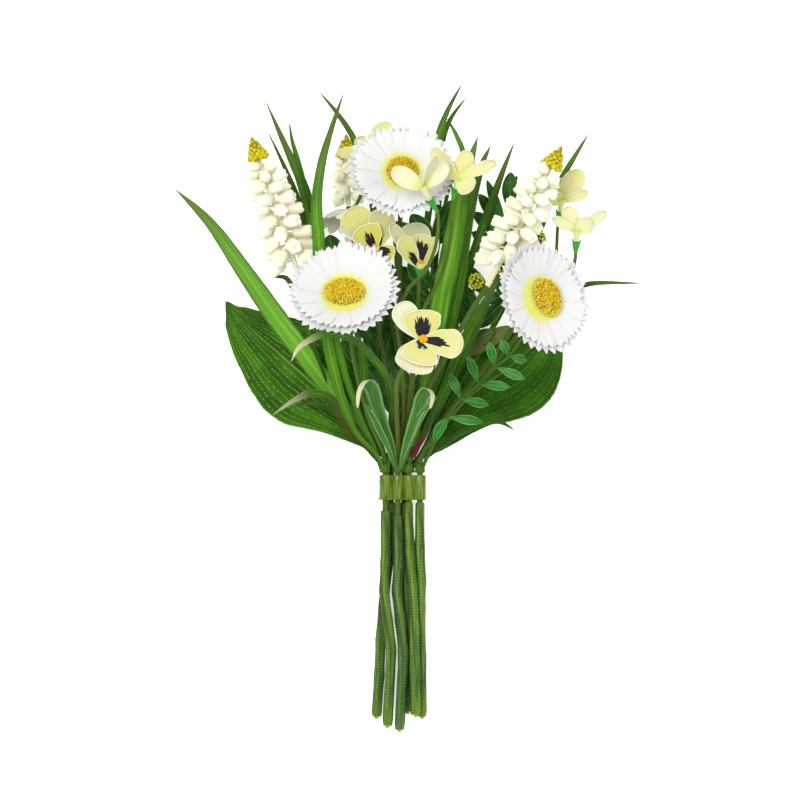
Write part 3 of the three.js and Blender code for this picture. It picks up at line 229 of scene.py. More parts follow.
# ---- the branching stalks: routes with the radius at each end, and how olive each one is ----
def stalk_plan():
    """Stem, crown, branches (points, from, to, olive) and cups (head, radius, length) of every pick's stalks."""
    d, p, s = DAISIES, PANSIES, STARS
    return {
        "left": ("left", 14, [
            ([(-7.9, 12.5, 8.9), (-9, 18, 13), (-12.5, 27, 21), (-18, 42, 31), (-23, 62, 43),
              *behind(d["left"], 14, 8)], 1.4, 1.2, 0.3)],
            [(d["left"], 6, 9)], []),
        "front": ("mid_left", 17, [
            ([(-1.4, 15, 9), (-1.5, 24, 19), (-2.2, 42, 38), (-1, 56, 58), *behind(p["front"], 10, 4)],
             1.4, 1.1, 0.85),
            ([(-0.9, 15, 9), (1.6, 28, 17), (5, 52, 31), (8, 80, 41), *behind(p["middle"], 12, 4)], 1.2, 0.9, 0.8),
            ([(-1.8, 15, 9), (-4, 34, 17), (-8, 62, 30), (-12, 92, 42), *behind(p["left"], 12, 4)], 1.2, 0.9, 0.6),
            ([(-1.2, 15, 9), (1.2, 34, 22), (0.5, 62, 42), (-2, 84, 56), (3.5, 99, 67), (12, 108, 75),
              (17.5, 122, 83), *behind(s["over_daisy"], 8, 4)], 1.1, 0.8, 0.7),
            ([(-1, 15, 9), (0.6, 24, 14.5), (4, 38, 23), (7.5, 66, 40), (10, 86, 54), (20, 106, 66),
              (24.5, 124, 70), *behind(s["beside_daisy"], 9, 4)], 1.1, 0.8, 0.7)],
            [(p["front"], 3.6, 5), (p["middle"], 2.8, 5), (p["left"], 2.8, 5)],
            [s["over_daisy"], s["beside_daisy"]]),
        "back": ("back", 25, [
            ([(1.6, 23, 3.2), (1, 40, 8), (0, 68, 17), (-0.5, 98, 27), (-0.5, 126, 38.5),
              *behind(d["top"], 13, 8)], 1.4, 1.2, 0.2),
            ([(1.6, 23, 3.2), (-2, 42, 5.5), (-9, 72, 7.5), (-18, 104, 9), (-25, 128, 11),
              (-26.45, 141.35, 12.8)], 1.2, 1.2, 0.3),
            ([(0.6, 50, 11), (-4, 80, 19), (-9, 108, 24), (-12, 132, 26), (-15, 147, 26), (-18.5, 150, 25.5),
              *behind(d["nodding"], 9, 5)], 1, 0.9, 0.2),
            ([(0.2, 66, 16), (-1.5, 96, 22), (-4, 130, 32), *behind(s["back_left"], 9, 4)], 1, 0.8, 0.6)],
            [(d["top"], 6, 9), (d["nodding"], 3.4, 5)], [s["back_left"]]),
        "mid_right": ("mid_right", 20, [
            ([(3.95, 19.2, 8.9), (3.3, 23.6, 14), (4.4, 31, 22.5), (12, 47, 32), (21, 64, 40), (36, 90, 50),
              (43, 101 - GAP, 52)], 1.3, 1.4, 0.4)], [], []),
        "right": ("right", 14, [
            ([(9.1, 12.5, 8.9), (14, 24, 13), (27, 42, 19), (43, 62, 26), (56, 80, 35),
              *behind(d["right"], 14, 8)],
             1.4, 1.2, 0.3),
            ([(14, 24, 13), (26, 38, 14), (48, 64, 18), (70, 90, 26), (84, 106, 33),
              *behind(s["right_low"], 9, 4)],
             1.1, 0.8, 0.8),
            ([(70, 90, 26), (77, 112, 33), *behind(s["right_high"], 9, 4)], 0.9, 0.8, 0.9)],
            [(d["right"], 6, 9)], [s["right_low"], s["right_high"]]),
        "far_left": ("far_left", 22, [
            ([(-5, 20, 3.2), (-8, 30, 6), (-15, 46, 12), (-26, 70, 20), (-38, 90, 26.5),
              (-49.5, 102.2, 33.7)], 1.4, 1.5, 0.5)], [], []),
    }


# ---- the grass ----
def blade(width, peak, tone, *points, **more):
    """A blade: its width, the share of its length where it is widest, how bright it is and its route.

    More: fold, blunt, rust (how red its root is) and pale (how pale its back and its tip are).
    """
    return {"width": width, "peak": peak, "tone": tone, "points": points, **more}


# Each tuft: its stem, where its collar starts, and its blades.
GRASS = {
    "grass_left": ("left", 7.4, [
        blade(2.6, 0.4, 0.25, (-45.5, 138, 21), (-48.5, 152, 26), (-52, 165, 28), (-54.5, 174, 28),
            (-56, 183, 28)),
        blade(4.8, 0.6, 0.55, (-9.7, 9, 8.6), (-14.6, 24, 11.5), (-17.5, 48, 23), (-19.5, 66, 31), (-24, 84, 38)),
        blade(5.8, 0.72, 0.7, (-9.9, 9, 10), (-12, 17, 13), (-19, 32, 19), (-27, 54, 29), (-33, 76, 37),
            (-38.5, 97, 38), (-42, 113, 30), (-44, 128, 22), (-46.5, 142, 21), (-50.5, 155, 24), (-58, 171.5, 31),
            (-68.5, 195.5, 30)),
        blade(3.8, 0.7, 0.3, (-10.2, 9, 9.6), (-13, 18, 11), (-21, 36, 18), (-30, 60, 28), (-37, 84, 36),
            (-41, 98, 35), (-44.5, 113, 25), (-47, 128, 18), (-52, 145, 18), (-58, 160, 21), (-67.5, 180, 25)),
        blade(6.4, 0.62, 0.7, (-8.6, 9, 11), (-12, 16, 14), (-22, 27, 20), (-26, 35, 23), (-30, 46, 28),
            (-34, 60, 33), (-37, 76, 39), (-40.5, 108, 50), (-41.2, 126, 54), (-42, 142, 55), (-39.5, 162, 54),
            (-34, 181.5, 52), (-28, 199, 50)),
        blade(4.6, 0.62, 0.35, (-6.6, 9, 10.8), (-5.6, 18, 13), (-5, 34, 22), (-4.6, 47, 36), (-7.5, 56, 47),
            (-14.5, 65, 55), (-22, 72.5, 58), (-30, 76, 59), (-38, 76.5, 58), (-45, 74, 56), (-51, 70, 54),
            (-55, 63, 51), pale=1.0),
    ]),
    "grass_low_left": ("far_left", 13, [
        blade(10.4, 0.6, 1.15, (-7.2, 14.6, 3.8), (-11, 20.5, 8), (-22, 33, 14), (-36, 50, 19), (-48, 66, 23),
            (-62, 84.5, 28), (-78.5, 108.5, 31), (-96, 133, 33), (-114, 150.5, 33)),
        blade(4.4, 0.6, 0.3, (-7, 14.6, 4.8), (-12, 20, 8), (-22, 29, 13), (-30, 37, 18), (-34.5, 43.5, 23),
            (-39, 46.5, 26), (-46, 47, 27), (-54, 43.5, 25), (-64.5, 36.5, 19), rust=0.9, pale=0.5),
        blade(2.8, 0.6, 0.2, (-36, 50, 17.9), (-45, 74, 26), (-52, 94, 30), (-57.5, 105, 32), (-65, 105.5, 32)),
        blade(3.2, 0.5, 0.15, (-7.3, 14.6, 3.2), (-13, 18.5, 6.5), (-24, 27, 11), (-32, 36.5, 15.5),
            (-39.5, 41, 19), (-47, 42.5, 19), (-55, 40, 17), rust=1.0),
    ]),
    "grass_back": ("back", 13, [
        blade(3.2, 0.75, 0.35, (-0.9, 14.8, 1.4), (-1.8, 19, 0.95), (-4, 34, 1.2), (-9, 64, 2.2),
            (-12.5, 104, 4.5), (-14, 138, 11), (-18.5, 160, 22), (-24, 175.5, 32), (-32, 187.5, 35),
            (-41.5, 199, 35)),
        blade(3.6, 0.72, 0.5, (4.1, 14.8, 2.4), (6.2, 18.4, 2), (8, 38, 2.4), (10, 70, 6), (11, 110, 20),
            (15, 150, 30), (18.5, 175, 36), (23, 188, 38), (31, 203, 40)),
        blade(3, 0.72, 0.45, (3.9, 14.8, 4), (5.8, 19, 4.8), (10, 38, 6.5), (14, 70, 9), (17, 110, 15),
            (19, 146, 22), (21, 174, 28), (25, 185, 29), (33, 196, 30)),
        blade(2.6, 0.6, 0.5, (17, 110, 15), (24, 150, 26), (31, 167, 30), (28, 176, 31), (23, 185, 31)),
    ]),
    "grass_right": ("mid_right", 13.4, [
        blade(10.6, 0.6, 0.85, (5.2, 15, 11), (7.8, 26, 14), (10.5, 46, 24), (14.5, 64, 34), (17.5, 79, 41),
            (20, 94, 45), (24, 112, 49), (27, 129, 53), (30.5, 149, 56), (34.5, 163, 57), (38.5, 176, 56),
            fold=0.16),
        blade(5.6, 0.62, 0.45, (5.6, 15, 10.6), (9.5, 28, 12), (16, 48, 20), (21.5, 66, 30), (25.5, 84, 37),
            (29.5, 104, 42), (32.5, 127, 46), (36.5, 147, 48), (41, 163, 47), (45, 171.5, 46)),
        blade(4.4, 0.66, 0.35, (6.4, 15, 9.6), (12, 30, 13), (20, 52, 20), (26, 76, 27), (31, 98, 32),
            (35, 114, 34), (40.5, 130, 36), (46, 145, 37), (51.5, 160, 38), (57, 173.5, 38)),
        blade(7.4, 0.6, 0.4, (6.6, 15, 9.8), (11.4, 27, 14.6), (21, 46, 23), (27, 60, 28), (35, 78, 33),
            (42, 92, 36), (50, 109, 37)),
        blade(3, 0.5, 0.1, (5, 15, 11), (8, 20, 15), (11.8, 27, 21), (15, 34, 26), (17.6, 40, 30), rust=2.0),
    ]),
    "leaf_tuft_front": ("mid_left", 7.4, [
        blade(7.6, 0.62, 0.5, (-2.2, 9, 11), (-4.2, 19, 17), (-8.4, 31, 28), (-12, 42, 40), (-14.5, 49.5, 48),
            (-17.5, 52, 53), (-20.5, 48, 57), (-21.5, 40, 57), fold=0.24, blunt=0.3, pale=1.0),
        blade(7.2, 0.62, 0.5, (-0.6, 9, 11), (1.2, 17, 18), (4.4, 27, 29), (8.3, 38, 40), (10.6, 45, 47),
            (13, 48, 51), (15.4, 46, 54), (14.4, 39.5, 55), fold=0.24, blunt=0.3, pale=1.0),
        blade(3.4, 0.55, 0.4, (-2.6, 9, 11), (-6.6, 20, 24), (-11, 29, 33.5), (-14.5, 36, 41), (-18.6, 43, 47)),
        blade(4, 0.55, 0.6, (0.4, 9, 9.8), (3.4, 20, 18), (7.6, 31, 31), (12.6, 40, 43), (18, 46, 49)),
    ]),
}

# ---- the broad leaves: half widths left and right of the midrib at shares of the way from root to tip ----
LEAF_SHARES = (0.2, 0.33, 0.42, 0.5, 0.6, 0.67, 0.76, 0.83, 1)
BROAD_LEAVES = {
    "leaf_left": {"stem": "far_left", "phase": 0.4,
                  "widths": ((1.5, 4, 13, 23, 26, 23, 15.5, 8, 0.5), (1.5, 4, 13, 21, 24, 22, 12, 6, 0.5)),
                  "points": [(-7.2, 9.6, 2.8), (-11, 13.5, 2.4), (-19, 24, 3.5), (-39, 47, 7), (-60.5, 66.5, 6.8),
                             (-83, 87, 2.8), (-88, 93.5, 0.6)]},
    "leaf_right": {"stem": "back", "phase": 2.1,
                   "widths": ((1.5, 3, 7, 12, 17, 17, 12, 7, 0.5),
                              (1.5, 6, 12.5, 18.5, 24.5, 26.5, 21.5, 12.5, 0.5)),
                   "points": [(3.8, 9.6, 2.6), (8, 13.5, 2.2), (15, 22, 3), (34, 45, 6.8), (55, 61, 7.2),
                              (73, 78, 3.8), (80, 88, 0.6)]},
}
LEAF_DROOP = 4.5
LEAF_WAVE = 1.3

# ---- the leafy sprays: stem, collar, stalks (points, from, to), leaflets (from, tip, width) and blades ----
FILLERS = {
    "foliage_middle": [
        ((-33, 112, 14), (-36, 127, 16), 11), ((-29, 108.5, 13.6), (-47.5, 117, 16), 9),
        ((15.7, 119, 25.6), (-5, 133, 25), 10), ((14.8, 94, 23), (-1, 111, 21), 9),
        ((16, 122, 26), (25, 144, 30), 8), ((-10, 56, 10.4), (-30, 74, 12), 10),
        ((-11, 60, 10.6), (-18, 76, 12), 8), ((-8, 49, 10), (0, 73, 12), 12),
        ((7.5, 44, 14), (-4.5, 62, 13), 9), ((-3, 32, 8.6), (6, 54, 10), 10),
        ((-10, 56, 10.4), (-4.5, 80, 13), 10)],
    "foliage_right": [
        ((51, 126, 30), (36, 138, 31), 7), ((50, 120, 29.4), (35.5, 128, 30), 7), ((43, 93, 23), (53, 97, 24), 7),
        ((36, 76, 19), (29, 92, 21), 7), ((38.5, 82, 20.3), (33, 101, 24), 7)],
}
SPRAYS = {
    "sprig_right": ("right", 7.4, [
        ([(10.6, 9.4, 10.4), (13, 15, 15), (16, 21.5, 20), (23, 35.5, 28), (30, 44.5, 33), (39, 52, 37),
          (47, 60.5, 40), (54, 66, 42), (60, 74.5, 44)], 1, 0.7)],
        [((16, 21.5, 20), (21, 34, 26.5), 5), ((23, 35.5, 28), (41, 33, 27), 4.8),
         ((30, 44.5, 33), (44, 41.5, 32), 4.8), ((39, 52, 37), (54.5, 50.5, 36), 4.8),
         ((47, 60.5, 40), (62, 54.5, 38), 4.8), ((54, 66, 42), (63, 63.5, 41), 4.4),
         ((23, 35.5, 28), (19, 28, 26), 4.5),
         ((30, 44.5, 33), (24.5, 57, 37), 4.6), ((39, 52, 37), (33.5, 66, 41), 4.6),
         ((47, 60.5, 40), (44, 73, 44), 4.6), ((54, 66, 42), (50, 74, 45), 4.4)],
        [blade(3, 0.5, 0.1, (13, 15, 15), (24, 24, 14), (38, 31, 12.5), (49, 33, 12), (57, 29, 11))]),
    "foliage_right": ("mid_right", 7.4, [
        ([(5.6, 9.4, 7), (8, 14, 5.4), (12.5, 22, 6.4), (20, 40, 11), (29, 62, 16), (38, 80, 20), (47, 104, 26),
          (52, 130, 31), (58, 156, 34)], 1, 0.7),
        ([(38, 80, 20), (36, 96, 26), (37.5, 103, 32)], 0.8, 0.7),
        ([(47, 104, 26), (50, 108, 30), (51, 110, 36)], 0.8, 0.7),
        ([(47, 104, 26), (58, 114, 32), (68, 124, 40)], 0.8, 0.7)],
        [((52, 130, 31), (39, 147, 32), 7), ((54, 140, 32), (55, 158, 34), 8), ((52, 130, 31), (43, 154, 35), 5),
         ((38, 80, 20), (50, 92, 26), 8), ((34, 72, 18), (46, 79, 23), 7), ((47, 104, 26), (56, 92, 28), 6),
         ((40, 86, 21), (26, 98, 24), 8), ((44, 96, 24), (31, 112, 26), 8), ((50, 118, 29), (62, 134, 32), 7),
         ((31, 66, 17), (55, 81, 16), 8), *FILLERS["foliage_right"]],
        [blade(3.2, 0.7, 0.6, (12.5, 22, 6.4), (20, 36, 10), (34, 58, 14), (48, 84, 18), (65, 118, 26),
             (78, 150, 34), (87, 166, 36), (94, 177.5, 36)),
         blade(3, 0.5, 0.25, (47, 104, 26), (64, 105, 25), (82, 100, 24), (97, 102.5, 27), (121, 102.5, 30))]),
    "foliage_middle": ("back", 18.2, [
        ([(1.6, 20.4, 5.8), (3, 26, 9.5), (7.5, 44, 14), (12.5, 70, 19), (15, 96, 23), (16, 122, 26)], 1, 0.7),
        ([(1.6, 20.4, 5.6), (-2, 29, 8), (-5, 37, 9.2), (-10, 56, 10.2), (-14, 74, 11.4), (-17, 90, 12)], 1, 0.7),
        ([(-17, 90, 12), (-24, 103, 13), (-33, 112, 14)], 0.7, 0.6)],
        [((-5, 37, 9.9), (-9.5, 64, 10.6), 11), ((-8, 48, 10.5), (-22, 66, 11), 11),
         ((-14, 74, 12), (-28, 92, 12), 12), ((-13, 70, 11.8), (-6, 96, 13), 13),
         ((-17, 90, 12.6), (-23, 114, 13.5), 12), ((-16.8, 89, 12.6), (-4, 112, 14), 11),
         ((6, 38, 12.9), (12.5, 60, 12), 9), ((15.6, 111, 25.4), (-3, 126, 22), 11),
         ((12.5, 70, 19), (25, 85, 22), 12), ((13.5, 80, 20.5), (5.5, 97, 24), 9),
         ((15, 96, 23), (27, 110, 26), 12), ((15.2, 100, 23.5), (4, 114, 26), 10),
         ((16, 122, 26), (25, 132, 28), 8), ((16, 122, 26), (5, 137, 28), 10),
         ((14.3, 88, 22.6), (-2, 104, 19), 10), ((13.2, 76, 20.7), (-3.5, 90, 12.5), 10),
         ((12.3, 70, 19.4), (-3, 78, 10), 9), ((12.5, 70, 19), (29, 75, 15), 9), *FILLERS["foliage_middle"]],
        []),
}


# ---- what a user may change ----
def paint(code):
    """A colour as it is seen, given as a hex code, as the linear red, green and blue of its finish."""
    parts = [int(code[i : i + 2], 16) / 255 for i in (1, 3, 5)]
    return tuple((c / 12.92 if c <= 0.04045 else ((c + 0.055) / 1.055) ** 2.4) / LIGHT_LEVEL for c in parts)


def shade(name, description, code):
    """A colour property with its default."""
    return FloatVectorProperty(
        name=name, description=description, subtype="COLOR", size=3, min=0, max=1, default=paint(code)
    )


def thickness(name, description, size):
    """A length property in metres, its default given in millimetres."""
    return FloatProperty(
        name=name, description=description, default=size * MM, min=0, soft_max=0.003, unit="LENGTH", precision=5
    )


class BunchSizes(bpy.types.PropertyGroup):
    """Counts and thicknesses of the fine pieces."""

    daisy_petals: IntProperty(name="Daisy petals", description="Petals in each layer", default=14, min=6, max=24)
    petal_teeth: IntProperty(name="Petal teeth", description="Teeth at the end of a daisy petal", default=3, min=1)
    disc_florets: IntProperty(name="Disc florets", description="Florets on a daisy's disc", default=420, min=20)
    tip_buds: IntProperty(name="Tip buds", description="Closed buds at the tip of a spike", default=46, min=10)
    petal_sheet: thickness("Petal sheet", "Thickness of a daisy petal", 0.34)
    pansy_sheet: thickness("Pansy sheet", "Thickness of a pansy or star petal", 0.42)
    blade_sheet: thickness("Blade sheet", "Thickness of a grass blade at its middle", 0.6)
    leaf_sheet: thickness("Leaf sheet", "Thickness of a broad leaf", 0.5)
    skin_depth: thickness("Skin depth", "How rough a stem sleeve's skin is", 0.13)


class BunchColours(bpy.types.PropertyGroup):
    """Colours of the finishes."""

    petal_white: shade("Petal white", "Daisy petals", "#DCDCD9")
    petal_shadow: shade("Petal shadow", "Folds of the daisy petals", "#D9DADB")
    petal_glow: shade("Petal glow", "Daisy petals next to the disc", "#DDE02C")
    disc_gold: shade("Disc gold", "Florets in the middle of a disc", "#E2BE02")
    disc_lemon: shade("Disc lemon", "Florets at the rim of a disc", "#ECD314")
    disc_shadow: shade("Disc shadow", "Between the florets", "#A98A06")
    pansy_yellow: shade("Pansy yellow", "Pansy petals near the middle", "#CDCB50")
    pansy_cream: shade("Pansy cream", "Pansy petals further out", "#D6D382")
    pansy_white: shade("Pansy white", "The pale petals of a pansy", "#DDDBC0")
    pansy_rim: shade("Pansy rim", "Edge of the pansy petals", "#F5F4E2")
    pansy_whisker: shade("Pansy whisker", "Dark marks on the pansy petals", "#15131D")
    eye_orange: shade("Eye orange", "Middle of a pansy", "#E6A910")
    bell_cream: shade("Bell cream", "Hyacinth bells", "#F5F1D4")
    bell_shadow: shade("Bell shadow", "Feet of the bells", "#E3DDB6")
    tip_lime: shade("Tip lime", "Buds at the tip of a spike", "#D9CC16")
    # the tip olive colour: olive clouds on the buds, and painted shade at their feet and on the core between them
    tip_olive_and_shade: shade("Tip olive", "Between the buds of a tip", "#9A8A10")
    star_cream: shade("Star cream", "Pale star flowers", "#DFDEBC")
    star_yellow: shade("Star yellow", "Yellower star flowers", "#D9D68F")
    grass_bright: shade("Grass bright", "The brightest blades", "#5A9A1A")
    grass_dark: shade("Grass dark", "The darkest blades", "#234708")
    blade_back: shade("Blade back", "Pale backs of the curled leaves", "#D6CFA8")
    leaf_green: shade("Leaf green", "Broad leaves", "#32640A")
    leaf_vein: shade("Leaf vein", "Dotted veins of the broad leaves", "#A8C36C")
    leaflet_green: shade("Leaflet green", "Leaflets of the sprays", "#2A7A1E")
    stalk_green: shade("Stalk green", "Green stalks", "#34641A")
    stalk_olive: shade("Stalk olive", "Olive stalks", "#5C6A24")
    calyx_green: shade("Calyx green", "Cups under the flowers", "#3FB443")
    sleeve_green: shade("Sleeve green", "Stem sleeves", "#59791C")
    # the sleeve dark colour is painted shade in the hollows and on the flanks, and also colours the dark streaks
    sleeve_dark_and_shade: shade("Sleeve dark", "Hollows in the sleeves' skin", "#33591A")
    nub_lime: shade("Nub lime", "Cores that show at the cut ends", "#A9BE22")
    clip_green: shade("Clip green", "The moulded clip", "#587012")
    rust_red: shade("Rust red", "Reddened roots", "#6E2430")


# ---- routes and shapes ----
class Route:
    """A smooth run through points, the way the CAD source's own curves run."""

    def __init__(self, points):
        self.points = [np.array(p, float) for p in points]

    def at(self, t):
        """The place at a share of the run."""
        p = self.points
        last = len(p) - 1
        i = min(int(t * last), last - 1)
        w = t * last - i
        before = p[i - 1] if i > 0 else 2 * p[0] - p[1]
        after = p[i + 2] if i + 2 <= last else 2 * p[last] - p[last - 1]
        x0, x1, x2, x3 = before, p[i], p[i + 1], after
        d0, d1, d2 = (float((b - a) @ (b - a)) ** 0.25 for a, b in ((x0, x1), (x1, x2), (x2, x3)))
        d1 = d1 if d1 > 1e-4 else 1.0
        d0, d2 = (d if d > 1e-4 else d1 for d in (d0, d2))
        t1 = ((x1 - x0) / d0 - (x2 - x0) / (d0 + d1) + (x2 - x1) / d1) * d1
        t2 = ((x2 - x1) / d1 - (x3 - x1) / (d1 + d2) + (x3 - x2) / d2) * d1
        c2 = -3 * x1 + 3 * x2 - 2 * t1 - t2
        c3 = 2 * x1 - 2 * x2 + t1 + t2
        return x1 + t1 * w + c2 * w * w + c3 * w**3

    def stations(self, steps, up=(0, 0, 1)):
        """Places along the run with the way on, up and right at each; up is carried along."""
        shares = np.linspace(0, 1, steps + 1)
        at = np.array([self.at(t) for t in shares])
        near = [(self.at(max(t - 1e-4, 0)), self.at(min(t + 1e-4, 1))) for t in shares]
        on = np.array([unit(b - a) for a, b in near])
        ups = []
        normal = np.array(up, float)
        for way in on:
            normal = unit(normal - way * (normal @ way))
            ups.append(normal)
        ups = np.array(ups)
        run = np.concatenate([[0], np.cumsum(np.linalg.norm(np.diff(at, axis=0), axis=1))])
        return shares, at, on, ups, np.cross(on, ups), run


def steady(knots, values, t):
    """A smooth curve through values at knots, without overshoot at flat ends."""
    knots, values, t = (np.asarray(a, float) for a in (knots, values, t))
    slopes = np.gradient(values, knots)
    t = np.clip(t, knots[0], knots[-1])
    i = np.clip(np.searchsorted(knots, t) - 1, 0, len(knots) - 2)
    span = knots[i + 1] - knots[i]
    w = (t - knots[i]) / span
    a, b, m, n = values[i], values[i + 1], slopes[i] * span, slopes[i + 1] * span
    return a + m * w + (3 * (b - a) - 2 * m - n) * w**2 + (m + n - 2 * (b - a)) * w**3


def turns(sides):
    """The angle of each side of a ring."""
    return np.arange(sides) / sides * 2 * math.pi


def rings_round(at, right, up, radius, angle):
    """Rings of points round a route, the radius given for each ring or for each point."""
    sideways = right[:, None] * np.cos(angle)[None, :, None] + up[:, None] * np.sin(angle)[None, :, None]
    return at[:, None] + radius[..., None] * sideways


def ripple(seed, *coordinates):
    """A soft, repeatable unevenness from -1 to 1 made of a few waves."""
    draw = random.Random(seed)
    total = 0
    for octave in range(4):
        phase = draw.uniform(0, 6.3)
        for c in coordinates:
            phase = phase + c * draw.uniform(0.6, 1.4) * 1.9**octave
        total = total + np.sin(phase) / (octave + 1.6)
    return total / 1.5


MARKS = ("along", "across", "run", "wide", "tone", "rust", "pale", "back", "edge")


class Shell:
    """The points, faces and marks of one piece while it is made, in millimetres."""

    def __init__(self):
        self.points, self.faces, self.slots = [], [], []
        self.marks = {m: [] for m in MARKS}
        self.count = 0

    def add(self, points, faces, slot=0, **marks):
        """Adds points and the faces between them; a mark is one value or one for each point."""
        points = np.asarray(points, float).reshape(-1, 3)
        self.points.append(points)
        self.faces.extend(tuple(self.count + int(i) for i in face) for face in faces)
        self.slots.extend([slot] * len(faces))
        for name in MARKS:
            value = np.asarray(marks.get(name, 0), float)
            self.marks[name].append(np.broadcast_to(value.reshape(-1) if value.ndim else value, (len(points),)))
        self.count += len(points)

    def sheet(self, grid, thick, slot=0, **marks):
        """A thin closed sheet round a grid of points, half its thickness to each side."""
        rows, columns = grid.shape[:2]
        normals = np.cross(np.gradient(grid, axis=1), np.gradient(grid, axis=0))
        size = np.linalg.norm(normals, axis=2)
        for r in range(1, rows):
            bad = size[r] < 1e-7
            normals[r][bad] = normals[r - 1][bad]
            size[r][bad] = size[r - 1][bad]
        normals /= np.maximum(size, 1e-9)[..., None]
        half = np.broadcast_to(np.asarray(thick, float), (rows, columns))[..., None] / 2
        top, under = grid + normals * half, grid - normals * half
        index = np.arange(rows * columns).reshape(rows, columns)
        quads = np.stack([index[:-1, :-1], index[:-1, 1:], index[1:, 1:], index[1:, :-1]], -1).reshape(-1, 4)
        loop = [*index[0], *index[1:, -1], *index[-1, -2::-1], *index[-2:0:-1, 0]]
        n = rows * columns
        rim = [(n + i, n + j, j, i) for i, j in zip(loop, loop[1:] + loop[:1])]
        flat = {"back": np.repeat([0.0, 1.0], n)}
        for name, value in marks.items():
            flat[name] = np.tile(np.broadcast_to(np.asarray(value, float), (rows, columns)).ravel(), 2)
        faces = [*quads.tolist(), *rim, *(quads[:, ::-1] + n).tolist()]
        self.add(np.concatenate([top.reshape(-1, 3), under.reshape(-1, 3)]), faces, slot, **flat)

    def rings(self, rings, slot=0, caps=True, **marks):
        """A skin over rings of points, [rings, sides, 3], closed with a fan over each end unless caps is False."""
        count, sides = rings.shape[:2]
        index = np.arange(count * sides).reshape(count, sides)
        turned = np.roll(index, -1, axis=1)
        faces = np.stack([index[:-1], turned[:-1], turned[1:], index[1:]], -1).reshape(-1, 4).tolist()
        points = [rings.reshape(-1, 3)]
        ends = (0, -1) if caps else ()
        for extra, end in enumerate(ends, count * sides):
            points.append(rings[end].mean(0)[None])
            pairs = zip(turned[end], index[end]) if end == 0 else zip(index[end], turned[end])
            faces += [(a, b, extra) for a, b in pairs]
        flat = {}
        for k, v in marks.items():
            value = np.broadcast_to(np.asarray(v, float), (count, sides))
            flat[k] = np.concatenate([value.ravel(), *[[value[e].mean()] for e in ends]])
        self.add(np.concatenate(points), faces, slot, **flat)

    def tube(self, points, radius, sides=10, steps=24, slot=0, swell=None, **marks):
        """A round tube along a route; radius is a number for each end."""
        shares, at, _, ups, right, run = Route(points).stations(steps, TUBE_UP)
        sizes = mix(radius[0], radius[1], shares)
        if swell is not None:
            sizes = sizes * swell(shares)
        angle = turns(sides)
        rings = rings_round(at, right, ups, sizes[:, None], angle)
        marks.setdefault("along", shares[:, None])
        self.rings(rings, slot, run=run[:, None], across=angle[None] / math.pi - 1, **marks)

    def lathe(self, outline, sides, place, slot=0, bend=None, **marks):
        """A round form from a half outline of (radius, height), moved by a place matrix."""
        outline = np.asarray(outline, float)
        angle = turns(sides)
        r, z = outline[:, 0][:, None], outline[:, 1][:, None]
        if bend is not None:
            r, z = bend(r, z, angle[None])
        ring = np.stack([r * np.cos(angle), r * np.sin(angle), z + 0 * angle], -1)
        height = (outline[:, 1] - outline[0, 1]) / max(np.ptp(outline[:, 1]), 1e-6)
        marks = {"along": height[:, None], "run": outline[:, 1:], "across": angle[None] / math.pi - 1, **marks}
        self.rings(moved(ring, place), slot, **marks)

    def grain(self, centre, out, radius, length, slot=0, sides=6, **marks):
        """A small bud or floret: a rounded cone that stands on a surface and points out."""
        out = unit(out)
        side = unit(np.cross(out, (0.31, 0.57, 0.76)))
        other = np.cross(out, side)
        angle = turns(sides)
        round_ = side * np.cos(angle)[:, None] + other * np.sin(angle)[:, None]
        levels = ((-0.3, 0.75), (0.2, 1.0), (0.65, 0.8), (0.95, 0.35))
        rings = np.array([np.asarray(centre) + out * length * z + round_ * radius * r for z, r in levels])
        heights = np.array([z for z, _ in levels])[:, None]
        self.rings(rings, slot, along=np.clip(heights, 0, 1), **marks)


def moved(points, place):
    """Points turned and moved by a 4 by 4 matrix."""
    return points @ place[:3, :3].T + place[:3, 3]


def head_place(head):
    """The turn and move that puts a head made round the origin, facing +Z, in its place."""
    face = unit(head["faces"])
    right = unit(np.cross((0, 1, 0), face))
    up = np.cross(face, right)
    roll = math.radians(head.get("roll", 0))
    place = np.eye(4)
    place[:3, 0] = right * math.cos(roll) + up * math.sin(roll)
    place[:3, 1] = up * math.cos(roll) - right * math.sin(roll)
    place[:3, 2] = face
    place[:3, 3] = head["at"]
    return place


def along_way(at, way):
    """A place matrix whose +Z runs along a way."""
    z = unit(way)
    x = unit(np.cross((0.0, 0.0, 1.0) if abs(z[2]) < 0.95 else (1.0, 0.0, 0.0), z))
    place = np.eye(4)
    place[:3, 0], place[:3, 1], place[:3, 2], place[:3, 3] = x, np.cross(z, x), z, at
    return place


def finished_piece(name, shell, finishes, slot, *nodes, crease=50):
    """Turns a shell into a Blender object that stands for CAD nodes and rides on the bunch."""
    mesh = bpy.data.meshes.new(name)
    mesh.from_pydata((np.concatenate(shell.points) * MM).tolist(), [], shell.faces)
    for mark, values in shell.marks.items():
        values = np.concatenate(values)
        if np.ptp(values) > 0 or values[0]:
            mesh.attributes.new(mark, "FLOAT", "POINT").data.foreach_set("value", values.astype(np.float32))
    for finish in finishes:
        mesh.materials.append(finish)
    mesh.polygons.foreach_set("material_index", shell.slots)
    mesh.polygons.foreach_set("use_smooth", [True] * len(mesh.polygons))
    mesh.set_sharp_from_angle(angle=math.radians(crease))
    mesh.update()
    piece = bpy.data.objects.new(name, mesh)
    bpy.context.scene.collection.objects.link(piece)
    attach(piece, BODY)
    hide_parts(*nodes)
    return piece


